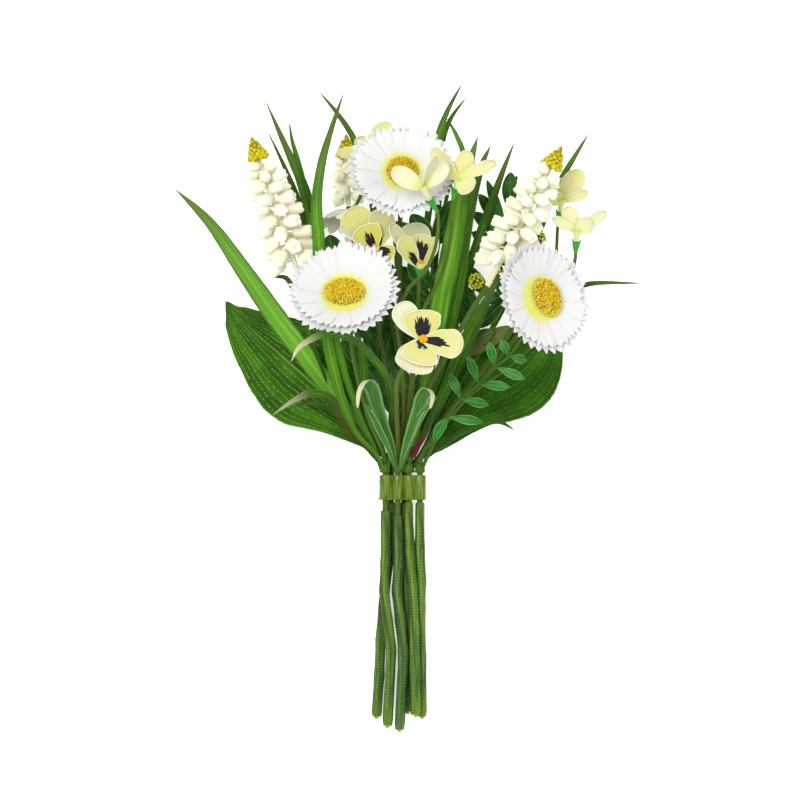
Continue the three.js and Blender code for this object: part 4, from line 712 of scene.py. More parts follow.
# ---- finishes ----
class Finish:
    """A node material, with short ways to add the nodes that it needs."""

    def __init__(self, name, roughness=0.6, coat=0.0, sheen=0.0, light=0.5):
        self.material = bpy.data.materials.new(name)
        self.material.use_nodes = True
        self.tree = self.material.node_tree
        self.skin = self.tree.nodes["Principled BSDF"]
        self.skin.inputs["Roughness"].default_value = roughness
        self.skin.inputs["Coat Weight"].default_value = coat
        self.skin.inputs["Sheen Weight"].default_value = sheen
        self.skin.inputs["Specular IOR Level"].default_value = light

    def put(self, socket, value):
        """Links a socket to another one, or sets its value."""
        if isinstance(value, bpy.types.NodeSocket):
            self.tree.links.new(value, socket)
        elif hasattr(value, "__len__") and len(value) == 3 and socket.type == "RGBA":
            socket.default_value = (*value, 1)
        else:
            socket.default_value = value

    def mark(self, name):
        """One of the piece's own marks, such as the share of the way along a blade."""
        node = self.tree.nodes.new("ShaderNodeAttribute")
        node.attribute_name = name
        return node.outputs["Fac"]

    def marks(self, *names):
        return [self.mark(name) for name in names]

    def sum(self, operation, *values, clamp=False):
        """What a sum makes of some values."""
        node = self.tree.nodes.new("ShaderNodeMath")
        node.operation = operation
        node.use_clamp = clamp
        for socket, value in zip(node.inputs, values):
            self.put(socket, value)
        return node.outputs[0]

    def times(self, *values, clamp=False):
        return self.sum("MULTIPLY", *values, clamp=clamp)

    def step(self, value, low, high):
        """0 below low and 1 above high, or the other way round."""
        node = self.tree.nodes.new("ShaderNodeMapRange")
        node.interpolation_type = "SMOOTHSTEP"
        self.put(node.inputs["Value"], value)
        self.put(node.inputs["From Min"], low)
        self.put(node.inputs["From Max"], high)
        return node.outputs["Result"]

    def blend(self, share, a, b):
        """One colour or another, by a share."""
        node = self.tree.nodes.new("ShaderNodeMix")
        node.data_type = "RGBA"
        for socket, value in zip((node.inputs[0], node.inputs[6], node.inputs[7]), (share, a, b)):
            self.put(socket, value)
        return node.outputs[2]

    def tint(self, body, share, strength, colour):
        """A body colour blended with another, by a share times a strength."""
        return self.blend(self.times(share, strength), body, colour)

    def place(self, x=0.0, y=0.0, z=0.0):
        """A place made of three values."""
        node = self.tree.nodes.new("ShaderNodeCombineXYZ")
        for socket, value in zip(node.inputs, (x, y, z)):
            self.put(socket, value)
        return node.outputs[0]

    def where(self, scale=1.0):
        """The place on the piece itself, in millimetres times a scale."""
        node = self.tree.nodes.new("ShaderNodeTexCoord")
        size = self.tree.nodes.new("ShaderNodeVectorMath")
        size.operation = "SCALE"
        self.tree.links.new(node.outputs["Object"], size.inputs[0])
        size.inputs["Scale"].default_value = scale / MM
        return size.outputs[0]

    def noise(self, place, scale=1.0, detail=2.0):
        """Soft clouds from 0 to 1."""
        node = self.tree.nodes.new("ShaderNodeTexNoise")
        node.inputs["Scale"].default_value = scale
        node.inputs["Detail"].default_value = detail
        self.put(node.inputs["Vector"], place)
        return node.outputs["Fac"]

    def streaks(self, side, across, way, along, detail, third=0.0):
        """Clouds drawn out into streaks: two values, each with how fast the clouds change with it."""
        place = self.place(self.times(side, across), self.times(way, along), third)
        return self.noise(place, 1.0, detail)

    def cells(self, place, scale=1.0):
        """The distance to the nearest of many scattered points."""
        node = self.tree.nodes.new("ShaderNodeTexVoronoi")
        node.inputs["Scale"].default_value = scale
        self.put(node.inputs["Vector"], place)
        return node.outputs["Distance"]

    def bump(self, height, depth, strength=1.0):
        """Raises the skin by a height, depth in millimetres."""
        node = self.tree.nodes.new("ShaderNodeBump")
        node.inputs["Strength"].default_value = strength
        node.inputs["Distance"].default_value = depth * MM
        self.put(node.inputs["Height"], height)
        self.put(self.skin.inputs["Normal"], node.outputs[0])

    def glow(self, colour, strength):
        """A little light of its own: painted light that lifts the shade on thin cloth in place of the light it
        lets through, and an even glow that keeps the floor paper bright.
        """
        self.put(self.skin.inputs["Emission Color"], colour)
        self.put(self.skin.inputs["Emission Strength"], strength)

    def colour(self, value):
        """Sets the skin's colour and gives the finished material."""
        self.put(self.skin.inputs["Base Color"], value)
        return self.material


def scaled(colour, share):
    """A colour made darker or lighter."""
    return tuple(min(1.0, c * share) for c in colour)


def petal_finish(c):
    """White stamped fabric with fine radial creases darkened by painted shade, a yellow-green glow next to the
    disc, and a faint white painted glow.
    """
    f = Finish("daisy petal fabric", roughness=0.85, sheen=0.1, light=0.2)
    around, out = f.marks("across", "edge")
    lines = f.noise(f.place(f.times(around, 8.0), f.times(out, 0.06), f.mark("tone")), 1.6, 3)
    patches = f.noise(f.place(f.times(around, 1.4), f.times(out, 0.1), 3.7), 1.6, 1)
    reach = f.sum("MULTIPLY_ADD", patches, 7.0, 0.8)
    glow = f.times(f.step(out, reach, -0.5), f.sum("MULTIPLY_ADD", lines, 0.8, 0.5), clamp=True)
    # painted shade: the petal shadow colour fills the low lines of the creases
    white = f.blend(f.step(lines, 0.56, 0.38), c.petal_white, c.petal_shadow)
    f.bump(lines, 0.12, 0.5)
    # painted light: a faint white glow lifts the shade on the petals
    f.glow((1, 1, 1), 0.05)
    return f.colour(f.blend(glow, white, c.petal_glow))


def green_petal_finish():
    """The half-open daisy: pale grey-cream, greener towards its foot."""
    f = Finish("half-open petal fabric", roughness=0.8, sheen=0.1, light=0.25)
    out = f.mark("edge")
    lines = f.noise(f.place(f.times(f.mark("across"), 8.0), f.times(out, 0.15)), 1.6, 3)
    base = f.blend(f.step(out, 0.0, 6.0), paint("#D2D3B4"), paint("#E2E0CE"))
    f.bump(lines, 0.15, 0.6)
    # painted shade: a darker cream in the low lines of the creases
    return f.colour(f.blend(f.step(lines, 0.6, 0.4), base, paint("#D3D2B8")))


def floret_finish(c):
    """Fuzzy golden florets, more lemon at the rim of the disc, some brown at random, with dark gold painted shade
    at their feet in the hollows between them.
    """
    f = Finish("disc florets", roughness=0.95, sheen=0.2, light=0.1)
    rim, tone = f.marks("edge", "tone")
    gold = f.blend(f.step(rim, 0.7, 1.0), c.disc_gold, c.disc_lemon)
    gold = f.blend(f.step(tone, 0.75, 0.95), gold, paint("#F0DC44"))
    gold = f.blend(f.times(f.step(tone, 0.2, 0.0), 0.8), gold, paint("#967409"))
    f.bump(f.noise(f.where(5.0), 1.0, 3), 0.2, 0.6)
    # painted shade: the disc shadow colour at the feet of the florets
    return f.colour(f.blend(f.step(f.mark("along"), 0.35, 0.0), gold, c.disc_shadow))


def bead_finish(c):
    """The closed gold-green buds at a spike's tip, with olive clouds and painted shade at the feet of the buds."""
    f = Finish("spike tip buds", roughness=0.7, light=0.3)
    tone = f.blend(f.mark("tone"), c.tip_lime, paint("#C9BA0E"))
    cloud = f.noise(f.where(0.9), 1.0, 2)
    tone = f.blend(f.step(cloud, 0.5, 0.72), tone, c.tip_olive_and_shade)
    f.bump(f.noise(f.where(4.0), 1.0, 2), 0.2, 0.6)
    # painted shade: darker olive at the feet of the buds
    return f.colour(f.blend(f.step(f.mark("along"), 0.4, 0.0), tone, c.tip_olive_and_shade))


def pansy_finish(c):
    """Cream-yellow fabric with a white rim, dark whiskers that run out from the middle, and painted grey shade on
    some petals.
    """
    f = Finish("pansy petal fabric", roughness=0.75, sheen=0.08, light=0.25)
    out, side, rim, pale = f.marks("run", "wide", "edge", "along")
    angle = f.sum("DIVIDE", side, f.sum("ADD", out, 2.5))
    fibres = f.streaks(angle, 17.0, out, 0.12, 1, f.mark("tone"))
    turned = f.sum("DIVIDE", angle, f.sum("MAXIMUM", f.mark("pale"), 0.02))
    fall = f.sum("SUBTRACT", 1.0, f.times(turned, turned), clamp=True)
    shape = f.sum("POWER", fall, 0.55)
    reach = f.times(f.mark("rust"), f.times(shape, f.sum("MULTIPLY_ADD", fibres, 1.1, 0.4)))
    whisker = f.times(f.step(f.sum("SUBTRACT", reach, out), -0.2, 0.35), f.step(out, 0.3, 0.9))
    veins = f.streaks(angle, 22.0, out, 0.06, 2)
    body = f.blend(f.step(out, 5.0, 17.0), c.pansy_yellow, c.pansy_cream)
    body = f.blend(f.mark("across"), body, c.pansy_white)
    body = f.tint(body, f.step(veins, 0.4, 0.7), 0.16, scaled(c.pansy_yellow, 0.8))
    # painted shade: pale holds the petal's grey value, which greys the petal
    body = f.blend(pale, body, paint("#C9C89C"))
    body = f.tint(body, f.mark("back"), 0.75, c.pansy_cream)
    body = f.tint(body, f.step(rim, 0.55, 0.08), 0.75, c.pansy_rim)
    f.bump(veins, 0.2, 0.5)
    seen = f.times(whisker, f.sum("SUBTRACT", 1.0, f.mark("back")), clamp=True)
    return f.colour(f.blend(seen, body, c.pansy_whisker))


def eye_finish(c):
    """The yellow lumps in the middle of a pansy."""
    f = Finish("pansy eye", roughness=0.7, light=0.25)
    cloud = f.noise(f.where(1.2), 1.0, 2)
    f.bump(cloud, 0.25, 0.6)
    return f.colour(f.blend(f.step(cloud, 0.5, 0.7), c.eye_orange, paint("#E09A0C")))


def star_finish(c):
    """Thin cream fabric, yellower towards the throat and down its folds, with faint veins."""
    f = Finish("star petal fabric", roughness=0.72, sheen=0.08, light=0.25)
    out, side = f.marks("along", "wide")
    veins = f.streaks(side, 1.3, f.mark("run"), 0.08, 2)
    body = f.blend(f.mark("tone"), c.star_cream, c.star_yellow)
    fold = f.step(f.sum("ABSOLUTE", side), 1.1, 0.0)
    body = f.tint(body, fold, 0.35, paint("#E2DE84"))
    throat = f.blend(f.step(out, 0.42, 0.05), body, paint("#D2DD6C"))
    throat = f.blend(f.mark("across"), throat, paint("#DCE0A0"))
    throat = f.blend(f.step(f.mark("edge"), 0.6, 0.1), throat, c.star_cream)
    f.bump(veins, 0.25, 0.6)
    return f.colour(f.tint(throat, f.step(veins, 0.45, 0.7), 0.18, scaled(c.star_yellow, 0.82)))


def bell_finish(c):
    """Smooth ivory bells, darker and yellower towards the foot with painted shade, and a faint painted glow."""
    f = Finish("bell ivory", roughness=0.6, coat=0.05, light=0.35)
    cloud = f.noise(f.where(0.3), 1.0, 3)
    # painted shade: the bell shadow colour towards the foot of each bell
    body = f.blend(f.step(f.mark("along"), 0.6, 0.05), c.bell_cream, c.bell_shadow)
    body = f.tint(body, f.step(cloud, 0.42, 0.72), 0.45, paint("#E4DFC2"))
    body = f.tint(body, f.mark("tone"), 0.4, paint("#FBFAF2"))
    f.bump(f.noise(f.where(1.0), 1.0, 2), 0.2, 0.5)
    # painted light: a faint cream glow lifts the shade on the bells
    f.glow((1, 0.95, 0.72), 0.07)
    return f.colour(body)


def curled_finish(c):
    """The strap leaves at the front: deep green faces, pale margins and beige backs that show at the tips."""
    f = Finish("curled leaf", roughness=0.45, light=0.12)
    along, apart = f.mark("along"), f.sum("ABSOLUTE", f.mark("across"))
    stripes = f.streaks(f.mark("wide"), 1.6, f.mark("run"), 0.05, 2)
    body = f.blend(f.step(stripes, 0.35, 0.65), paint("#2C6420"), paint("#4E8A32"))
    margin = f.step(apart, 0.6, 0.85)
    body = f.tint(body, margin, 0.7, paint("#86AC66"))
    tip = f.times(f.mark("pale"), f.step(along, 0.76, 0.86))
    body = f.blend(tip, body, c.blade_back)
    body = f.tint(body, f.mark("back"), f.mark("pale"), c.blade_back)
    body = f.blend(f.step(along, 0.16, 0.0), body, paint("#4E7E36"))
    f.bump(stripes, 0.25, 0.6)
    return f.colour(body)


def grass_finish(c):
    """A blade: bright or dark by its tone, a light midrib, fine stripes, and darker edges with pale nicks."""
    f = Finish("grass", roughness=0.45, light=0.08)
    along, across, run = f.marks("along", "across", "run")
    apart = f.sum("ABSOLUTE", across)
    stripes = f.streaks(f.mark("wide"), 3.0, run, 0.03, 2)
    patches = f.noise(f.place(f.times(run, 0.05), f.mark("tone"), f.times(across, 0.4)), 1.0, 2)
    tone = f.sum("ADD", f.mark("tone"), f.times(f.sum("SUBTRACT", patches, 0.5), 1.1), clamp=True)
    body = f.blend(tone, c.grass_dark, c.grass_bright)
    body = f.tint(body, f.step(f.mark("tone"), 0.9, 1.2), 0.6, paint("#6FB038"))
    body = f.tint(body, f.step(stripes, 0.5, 0.72), 0.5, scaled(c.grass_dark, 0.7))
    body = f.tint(body, f.step(stripes, 0.45, 0.28), f.times(tone, 0.6), paint("#9BCB55"))
    rib = f.step(apart, 0.3, 0.0)
    body = f.tint(body, rib, f.times(tone, 0.45), paint("#98C94E"))
    margin = f.step(apart, 0.7, 0.98)
    body = f.tint(body, margin, 0.75, paint("#3A5A22"))
    nicks = f.step(f.noise(f.place(f.times(run, 1.4), across), 1.0, 1), 0.58, 0.7)
    nicks = f.times(nicks, f.step(apart, 0.86, 0.97))
    body = f.tint(body, nicks, 0.5, paint("#B9C9A0"))
    body = f.tint(body, f.step(along, 0.62, 1.0), 0.8, paint("#525F30"))
    body = f.tint(body, f.step(along, 0.45, 0.1), 0.45, paint("#2F5A18"))
    red = f.times(f.mark("rust"), f.step(along, 0.62, 0.08), clamp=True)
    body = f.blend(red, body, c.rust_red)
    body = f.tint(body, f.mark("back"), f.mark("pale"), c.blade_back)
    body = f.tint(body, f.mark("pale"), f.step(along, 0.72, 0.95), c.blade_back)
    body = f.tint(body, f.mark("back"), 0.25, paint("#5E8048"))
    f.bump(stripes, 0.3, 0.7)
    return f.colour(body)


def broad_leaf_finish(c):
    """A dark leaf with many fine dotted veins that run with its outline, painted shade in the soft folds between
    them, and a pale midrib.
    """
    f = Finish("broad leaf", roughness=0.5, light=0.05)
    across, run, wide = f.marks("across", "run", "wide")
    wander = f.sum("SUBTRACT", f.noise(f.where(0.2), 1.0, 2), 0.5)
    lane = f.sum("ADD", f.times(across, math.pi * 9.0), f.times(wander, 1.6))
    line = f.step(f.sum("ABSOLUTE", f.sum("SINE", lane)), 0.26, 0.12)
    dashes = f.step(f.streaks(run, 1.6, across, 14.0, 1), 0.45, 0.56)
    strewn = f.step(f.noise(f.where(0.1), 1.0, 1), 0.5, 0.62)
    specks = f.times(f.step(f.cells(f.where(1.1)), 0.17, 0.06), strewn)
    dots = f.sum("MAXIMUM", f.times(line, dashes), f.times(specks, 0.8))
    cloud = f.noise(f.where(0.05), 1.0, 3)
    body = f.blend(f.step(cloud, 0.38, 0.66), scaled(c.leaf_green, 0.75), scaled(c.leaf_green, 1.45))
    # painted shade: darker bands in the folds between the veins
    fold = f.step(f.sum("SINE", f.times(lane, 0.5)), -0.3, 0.9)
    body = f.tint(body, fold, 0.5, scaled(c.leaf_green, 0.42))
    rib = f.step(f.sum("ABSOLUTE", wide), 0.7, 0.25)
    body = f.tint(body, rib, f.step(f.mark("along"), 0.95, 0.3), paint("#7F9A45"))
    body = f.tint(body, f.step(f.sum("ABSOLUTE", across), 0.955, 0.99), 0.5, paint("#7E9C50"))
    body = f.tint(body, f.mark("back"), 0.5, paint("#4C6A34"))
    red = f.times(f.mark("rust"), f.step(f.mark("along"), 0.3, 0.05), clamp=True)
    body = f.blend(red, body, c.rust_red)
    f.bump(f.sum("SUBTRACT", f.noise(f.where(1.6), 1.0, 2), f.times(line, 0.8)), 0.3, 0.7)
    return f.colour(f.tint(body, dots, f.sum("MULTIPLY_ADD", f.mark("pale"), 0.45, 0.3), c.leaf_vein))


def leaflet_finish(c):
    """Leaflets with a light outline and midrib; some of the dark round ones have a beige back and a red rim."""
    f = Finish("leaflets", roughness=0.45, light=0.1)
    tone, apart = f.mark("tone"), f.sum("ABSOLUTE", f.mark("across"))
    cloud = f.noise(f.where(0.14), 1.0, 2)
    body = f.blend(tone, paint("#234A12"), c.leaflet_green)
    light = f.blend(tone, paint("#4C7A24"), paint("#5FA656"))
    body = f.tint(body, f.step(cloud, 0.4, 0.7), 0.45, light)
    rim = f.step(apart, 0.78, 0.96)
    body = f.tint(body, rim, 0.6, f.blend(tone, paint("#7C9448"), paint("#9CCB90")))
    rib = f.step(apart, 0.12, 0.03)
    body = f.tint(body, rib, 0.3, paint("#86B468"))
    turned = f.blend(rim, paint("#8C8C4E"), paint("#93583C"))
    body = f.blend(f.mark("rust"), body, turned)
    body = f.blend(f.times(f.mark("back"), f.mark("pale"), clamp=True), body, paint("#8E8A5C"))
    f.bump(f.noise(f.where(0.9), 1.0, 2), 0.3, 0.5)
    return f.colour(body)


def stalk_finish(c):
    """Moulded stalks, green to olive by their tone, faintly striped along."""
    f = Finish("stalks", roughness=0.5, light=0.1)
    lines = f.streaks(f.mark("across"), 7.0, f.mark("run"), 0.1, 2)
    body = f.blend(f.mark("tone"), c.stalk_green, c.stalk_olive)
    body = f.tint(body, f.step(lines, 0.4, 0.7), 0.45, scaled(c.stalk_green, 0.5))
    body = f.tint(body, f.noise(f.where(0.1), 1.0, 2), 0.35, scaled(c.stalk_olive, 1.2))
    body = f.blend(f.times(f.mark("rust"), 1.0, clamp=True), body, c.rust_red)
    f.bump(lines, 0.25, 0.6)
    return f.colour(body)


def calyx_finish(c):
    """The bright green cups under the flowers."""
    f = Finish("calyx", roughness=0.5, light=0.15)
    cloud = f.noise(f.where(0.5), 1.0, 2)
    body = f.blend(f.times(cloud, 0.7), c.calyx_green, scaled(c.stalk_green, 0.9))
    f.bump(cloud, 0.2, 0.5)
    return f.colour(body)


def sleeve_finish(c):
    """Green skin ribbed along its length, with light and dark streaks, fine pale dashes on the ribs as painted
    highlights, and painted shade in its hollows and on the flanks away from its top.
    """
    f = Finish("stem sleeve", roughness=0.46, light=0.16)
    around, run = f.marks("across", "run")
    grain = f.streaks(around, 7.0, run, 0.06, 3)
    dashes = f.streaks(around, 11.0, run, 1.1, 2)
    body = f.blend(f.mark("tone"), scaled(c.sleeve_green, 0.72), scaled(c.sleeve_green, 1.25))
    body = f.tint(body, f.mark("pale"), 0.7, paint("#2C5E46"))
    # painted shade in the hollows of the grain, where the bump is low
    body = f.tint(body, f.step(grain, 0.6, 0.36), 0.85, c.sleeve_dark_and_shade)
    rungs = f.sum("SINE", f.sum("MULTIPLY_ADD", run, 4.3, f.times(grain, 5.0)))
    # painted highlight: pale dashes on the crests of the ribs
    painted_rib_highlight = f.times(f.step(rungs, 0.3, 0.9), f.step(f.mark("edge"), 0.3, 0.9))
    painted_rib_highlight = f.times(painted_rib_highlight, f.step(dashes, 0.4, 0.56))
    streak = f.streaks(around, 4.0, run, 0.03, 2, 5.0)
    body = f.tint(body, f.step(streak, 0.52, 0.68), 0.55, paint("#7FA23C"))
    body = f.tint(body, f.step(streak, 0.48, 0.34), 0.8, scaled(c.sleeve_dark_and_shade, 0.55))
    body = f.tint(body, painted_rib_highlight, 0.4, paint("#A9BC80"))
    # painted shade on the flanks and underside, away from the top
    painted_flank_shade = f.step(f.sum("ABSOLUTE", f.sum("ADD", around, 0.5)), 0.22, 0.5)
    body = f.tint(body, painted_flank_shade, 0.5, scaled(c.sleeve_dark_and_shade, 0.6))
    f.bump(f.sum("ADD", grain, f.times(rungs, 0.25)), 0.3, 0.8)
    return f.colour(body)


def nub_finish(c):
    """The lime plastic of a core where its stem is cut."""
    f = Finish("core nub", roughness=0.5, light=0.4)
    cloud = f.noise(f.where(0.9), 1.0, 2)
    f.bump(cloud, 0.3, 0.6)
    return f.colour(f.blend(cloud, c.nub_lime, scaled(c.nub_lime, 0.6)))


def clip_finish(c):
    """Moulded olive-green plastic with painted shade in its grooves, and light and dark draw lines along the
    flutes that also serve as painted highlight and shade.
    """
    f = Finish("clip plastic", roughness=0.34, coat=0.04, light=0.3)
    draw = f.streaks(f.mark("wide"), 1.6, f.mark("run"), 0.1, 3)
    # light and dark copies of the clip green: draw lines, and also painted highlight and shade along the flutes
    body = f.blend(f.step(draw, 0.35, 0.7), scaled(c.clip_green, 1.55), scaled(c.clip_green, 0.45))
    # painted shade: near black in the grooves, where the tone mark is high
    body = f.blend(f.mark("tone"), body, paint("#1C2906"))
    f.bump(draw, 0.15, 0.5)
    return f.colour(body)


def bud_finish():
    """Small dull yellow buds, some greener than others, with painted shade at the foot of each."""
    f = Finish("filler buds", roughness=0.75, light=0.25)
    tone = f.blend(f.mark("tone"), paint("#D2C620"), paint("#A9B424"))
    f.bump(f.noise(f.where(3.0), 1.0, 2), 0.2, 0.6)
    # painted shade: dark olive at the foot of each bud
    return f.colour(f.blend(f.step(f.mark("along"), 0.25, 0.0), tone, paint("#77781A")))


# ---- pieces ----
def add_collar(shell, stem, low, seed, slot=0):
    """The ring from which a tuft grows, with small spurs on its lower edge."""
    x, z = STEMS[stem]
    outer, inner = COLLAR_OUTER, COLLAR_INNER
    outline = [(inner, 0), (outer - 0.35, 0), (outer, 0.5), (outer - 0.1, 2.4), (outer - 0.3, COLLAR_LENGTH - 0.4),
               (outer - 0.7, COLLAR_LENGTH), (inner, COLLAR_LENGTH), (inner, COLLAR_LENGTH / 2), (inner, 0)]
    r, h = np.hsplit(np.array(outline, float), 2)
    place = along_way((x, low, z), (0, 1, 0))
    angle = turns(24)
    wavy = r * (1 + 0.05 * np.sin(angle * 6 + seed) * (r > inner + 0.2))
    rings = moved(np.stack([wavy * np.cos(angle), wavy * np.sin(angle), h + 0 * angle], -1), place)
    shell.rings(rings, slot, caps=False, tone=0.15, run=h, across=angle[None] / math.pi - 1)
    for turn in (0.6 + seed, 2.7 + seed):
        side = place[:3, 0] * math.cos(turn) + place[:3, 1] * math.sin(turn)
        at = place[:3, 3] + side * (outer - 0.2) + np.array([0, 0.8, 0])
        shell.grain(at, side - np.array([0, 0.5, 0]), 0.4, 0.9, slot, tone=0.2)


def leaf_grid(at, right, up, aside, lift):
    """The points of a leaf: so far to the side of its route, and so far above it."""
    return at[:, None] + right[:, None] * aside[..., None] + up[:, None] * lift[..., None]


def add_blade(shell, size, plan, seed, slot=0, rows=64, columns=11):
    """A folded grass blade: widest at its peak, ribbed along, with a slightly uneven edge."""
    width, peak, fold = plan["width"], plan.get("peak", 0.5), plan.get("fold", 0.14)
    blunt = plan.get("blunt", 0)
    t, at, _, up, right, run = Route(plan["points"]).stations(rows - 1)
    rise = np.sin(np.minimum(t / peak, 1) * math.pi / 2) ** 1.4
    fall = np.maximum(0, (t - peak) / (1 - peak))
    wide = mix(1.5, width, rise) * (1 - (1 - blunt) * fall**1.7) + 0.5 * fall
    wide = wide * (1 + 0.035 * ripple(seed, run * 0.35)) * np.where(t < 0.05, 0.9 + 2 * t, 1)
    tip = np.clip((t - 0.93) / 0.07, 0, 1)
    wide = wide * np.sqrt(np.maximum(1 - tip**2, 0.004))
    s = np.linspace(-1, 1, columns)
    nick = 1 + 0.02 * ripple(seed + 7, run * 1.3)[:, None] * np.abs(s) ** 6
    sway = 0.25 * ripple(seed + 3, run * 0.05) * np.sin(t * math.pi)
    valley = -fold * wide[:, None] * (1 - np.abs(s) ** 1.15)
    ribs = 0.07 * np.sin(s * 14) * np.minimum(wide, 6)[:, None] / 6
    edge_curl = -0.04 * wide[:, None] * np.abs(s) ** 4
    grid = leaf_grid(at, right, up, wide[:, None] * s * nick / 2 + sway[:, None], valley + ribs + edge_curl)
    thick = size / MM * (1 - 0.55 * np.abs(s)) * np.clip(wide / 2.5, 0.35, 1)[:, None]
    shell.sheet(
        grid, thick, slot, along=t[:, None], across=s[None], run=run[:, None], wide=wide[:, None] * s / 2,
        tone=plan["tone"], rust=plan.get("rust", 0), pale=plan.get("pale", 0),
    )


def add_leaflet(shell, size, start, tip, width, seed, blunt, slot=0, **marks):
    """A small leaf that leaves its stalk at a point, bowed towards the front."""
    middle = (np.array(start, float) + tip) / 2 + (0, 0, 1.5)
    t, at, _, up, right, run = Route([start, middle, tip]).stations(20)
    body = np.sin(np.clip(t, 0, 1) ** (1.1 if blunt else 1.35) * math.pi) ** (0.6 if blunt else 0.85)
    half = np.maximum(width / 2 * body, np.where(t < 0.2, 0.45, 0.06))
    s = np.linspace(-1, 1, 9)
    wave = 0.25 * np.sin(run[:, None] * 0.5 + seed + (s > 0)) * s**2
    grid = leaf_grid(at, right, up, half[:, None] * s, wave - 0.1 * width * s**2 * (half / width * 2)[:, None])
    thick = size / MM * (1 - 0.5 * np.abs(s))[None] * np.ones((len(t), 1))
    shell.sheet(
        grid, thick, slot, along=t[:, None], across=s[None], run=run[:, None], wide=half[:, None] * s, **marks
    )


def add_calyx(shell, head, radius, length, slot):
    """The ribbed green cup under a head."""
    top = -PETAL_SEAT - GAP
    share = np.linspace(0, 1, 12)
    radii = steady((0, 0.25, 0.65, 1.0), (1.15, 1.5, radius * 0.75, radius), share)
    outline = list(zip(radii, top - length + share * length))

    def bend(r, z, angle):
        return r * (1 + 0.06 * np.cos(angle * 10) * np.clip((r - 1.2) / 2, 0, 1)), z

    shell.lathe(outline, 40, head_place(head), slot, bend)


def add_star_cup(shell, star, slot):
    """The slim green cup under a star flower."""
    outline = [(0.85, -7 - GAP), (0.95, -6.4), (1.1, -5), (1.6, -3.2), (1.9, -2), (1.85, -1), (1.7, -GAP)]
    shell.lathe(outline, 20, head_place(star), slot)
    place = head_place(star)
    for angle in turns(5):
        base = moved(np.array([1.5 * math.cos(angle), 1.5 * math.sin(angle), -1.2]), place)
        way = place[:3, :3] @ np.array([0.35 * math.cos(angle), 0.35 * math.sin(angle), 1])
        shell.grain(base, way, 0.5, 2.6, slot)


def make_stalks(name, plan, finishes):
    """One pick's core, its branching stalks and the cups on them."""
    stem, crown, branches, cups, star_cups = plan
    shell = Shell()
    x, z = STEMS[stem]
    mouth = SLEEVES[stem][0][1]
    shell.tube([(x, mouth - 1.5, z), (x, crown, z)], (CORE_RADIUS, CORE_RADIUS), 16, 12, tone=0.45)
    for number, (points, start, end, olive) in enumerate(branches):

        def swell(t, seed=number + crown):
            return 1 + 0.05 * ripple(seed, t * 30)

        shell.tube(points, (start, end), 12, (len(points) - 1) * 7, swell=swell, tone=olive)
    shell.grain((x, crown - 0.5, z), (0, 1, 0.3), 1.7, 2.4, tone=0.5, sides=10)
    for head, radius, length in cups:
        add_calyx(shell, head, radius, length, 1)
    for star in star_cups:
        add_star_cup(shell, star, 1)
    return finished_piece(f"fine_stalks_{name}", shell, finishes, "stalk_green", f"stalks_{name}")


def bent(points, reach=3.5):
    """A run of straight lengths with a tight bend at each inner point."""
    points = [np.array(p, float) for p in points]
    run = [points[0]]
    for before, p, after in zip(points, points[1:], points[2:]):
        run += [p + unit(before - p) * reach, p * 0.92 + (before + after) * 0.04, p + unit(after - p) * reach]
    return [*run, points[-1]]


def make_sleeve(stem, finishes, depth):
    """A thick sleeve: ribbed and grained along, swollen at each bend, with its core showing at the cut end."""
    points = SLEEVES[stem]
    shell = Shell()
    sides, steps = 48, 190
    t, at, on, up, right, run = Route(bent(points)).stations(steps, TUBE_UP)
    light, blue = SLEEVE_TONES[stem]
    seed = sum(ord(letter) for letter in stem)
    angle = turns(sides)
    swell = sum(np.exp(-(((at - np.array(b)) ** 2).sum(1)) / 14) for b in points[2:-1])
    size = mix(SLEEVE_RADIUS[0], SLEEVE_RADIUS[1], run / run[-1]) + 0.24 * swell
    end = np.clip((run - run[-1] + 1.2) / 1.2, 0, 1)
    mouth = np.clip(1 - run / 0.9, 0, 1)
    size = size - 0.4 * end**2 - 0.2 * mouth
    turn = 0.25 * ripple(seed + 2, run[:, None] * 0.02)
    ribs = np.cos((angle[None] + turn) * 7 + seed) + 0.5 * np.cos((angle[None] - turn) * 12 + seed * 2)
    grain = ripple(seed, angle[None] * 5, run[:, None] * 0.1)
    pits = 0.4 * ripple(seed + 1, angle[None] * 9, run[:, None] * 0.9)
    radius = size[:, None] + depth / MM * (0.55 * ribs + 0.6 * (grain + pits))
    rings = rings_round(at, right, up, radius, angle)
    rings[-1] += on[-1] * 0.3 * np.sin(angle * 3 + seed)[:, None]
    # edge marks the crests of the ribs, where the painted highlights go
    shell.rings(
        rings, along=t[:, None], run=run[:, None], across=angle[None] / math.pi - 1, tone=light, pale=blue,
        edge=ribs / 3 + 0.5,
    )
    outline = [(1.35, -0.6), (1.3, 0.2), (1.15, 0.8), (0.8, 1.35), (0.25, 1.6)]

    def bend(r, h, a):
        return r * (1 + 0.12 * np.sin(a * 3 + seed)), h

    shell.lathe(outline, 14, along_way(at[-1], on[-1]), 1, bend)
    return finished_piece(f"fine_sleeve_{stem}", shell, finishes, "stem_sleeve", f"sleeve_{stem}")


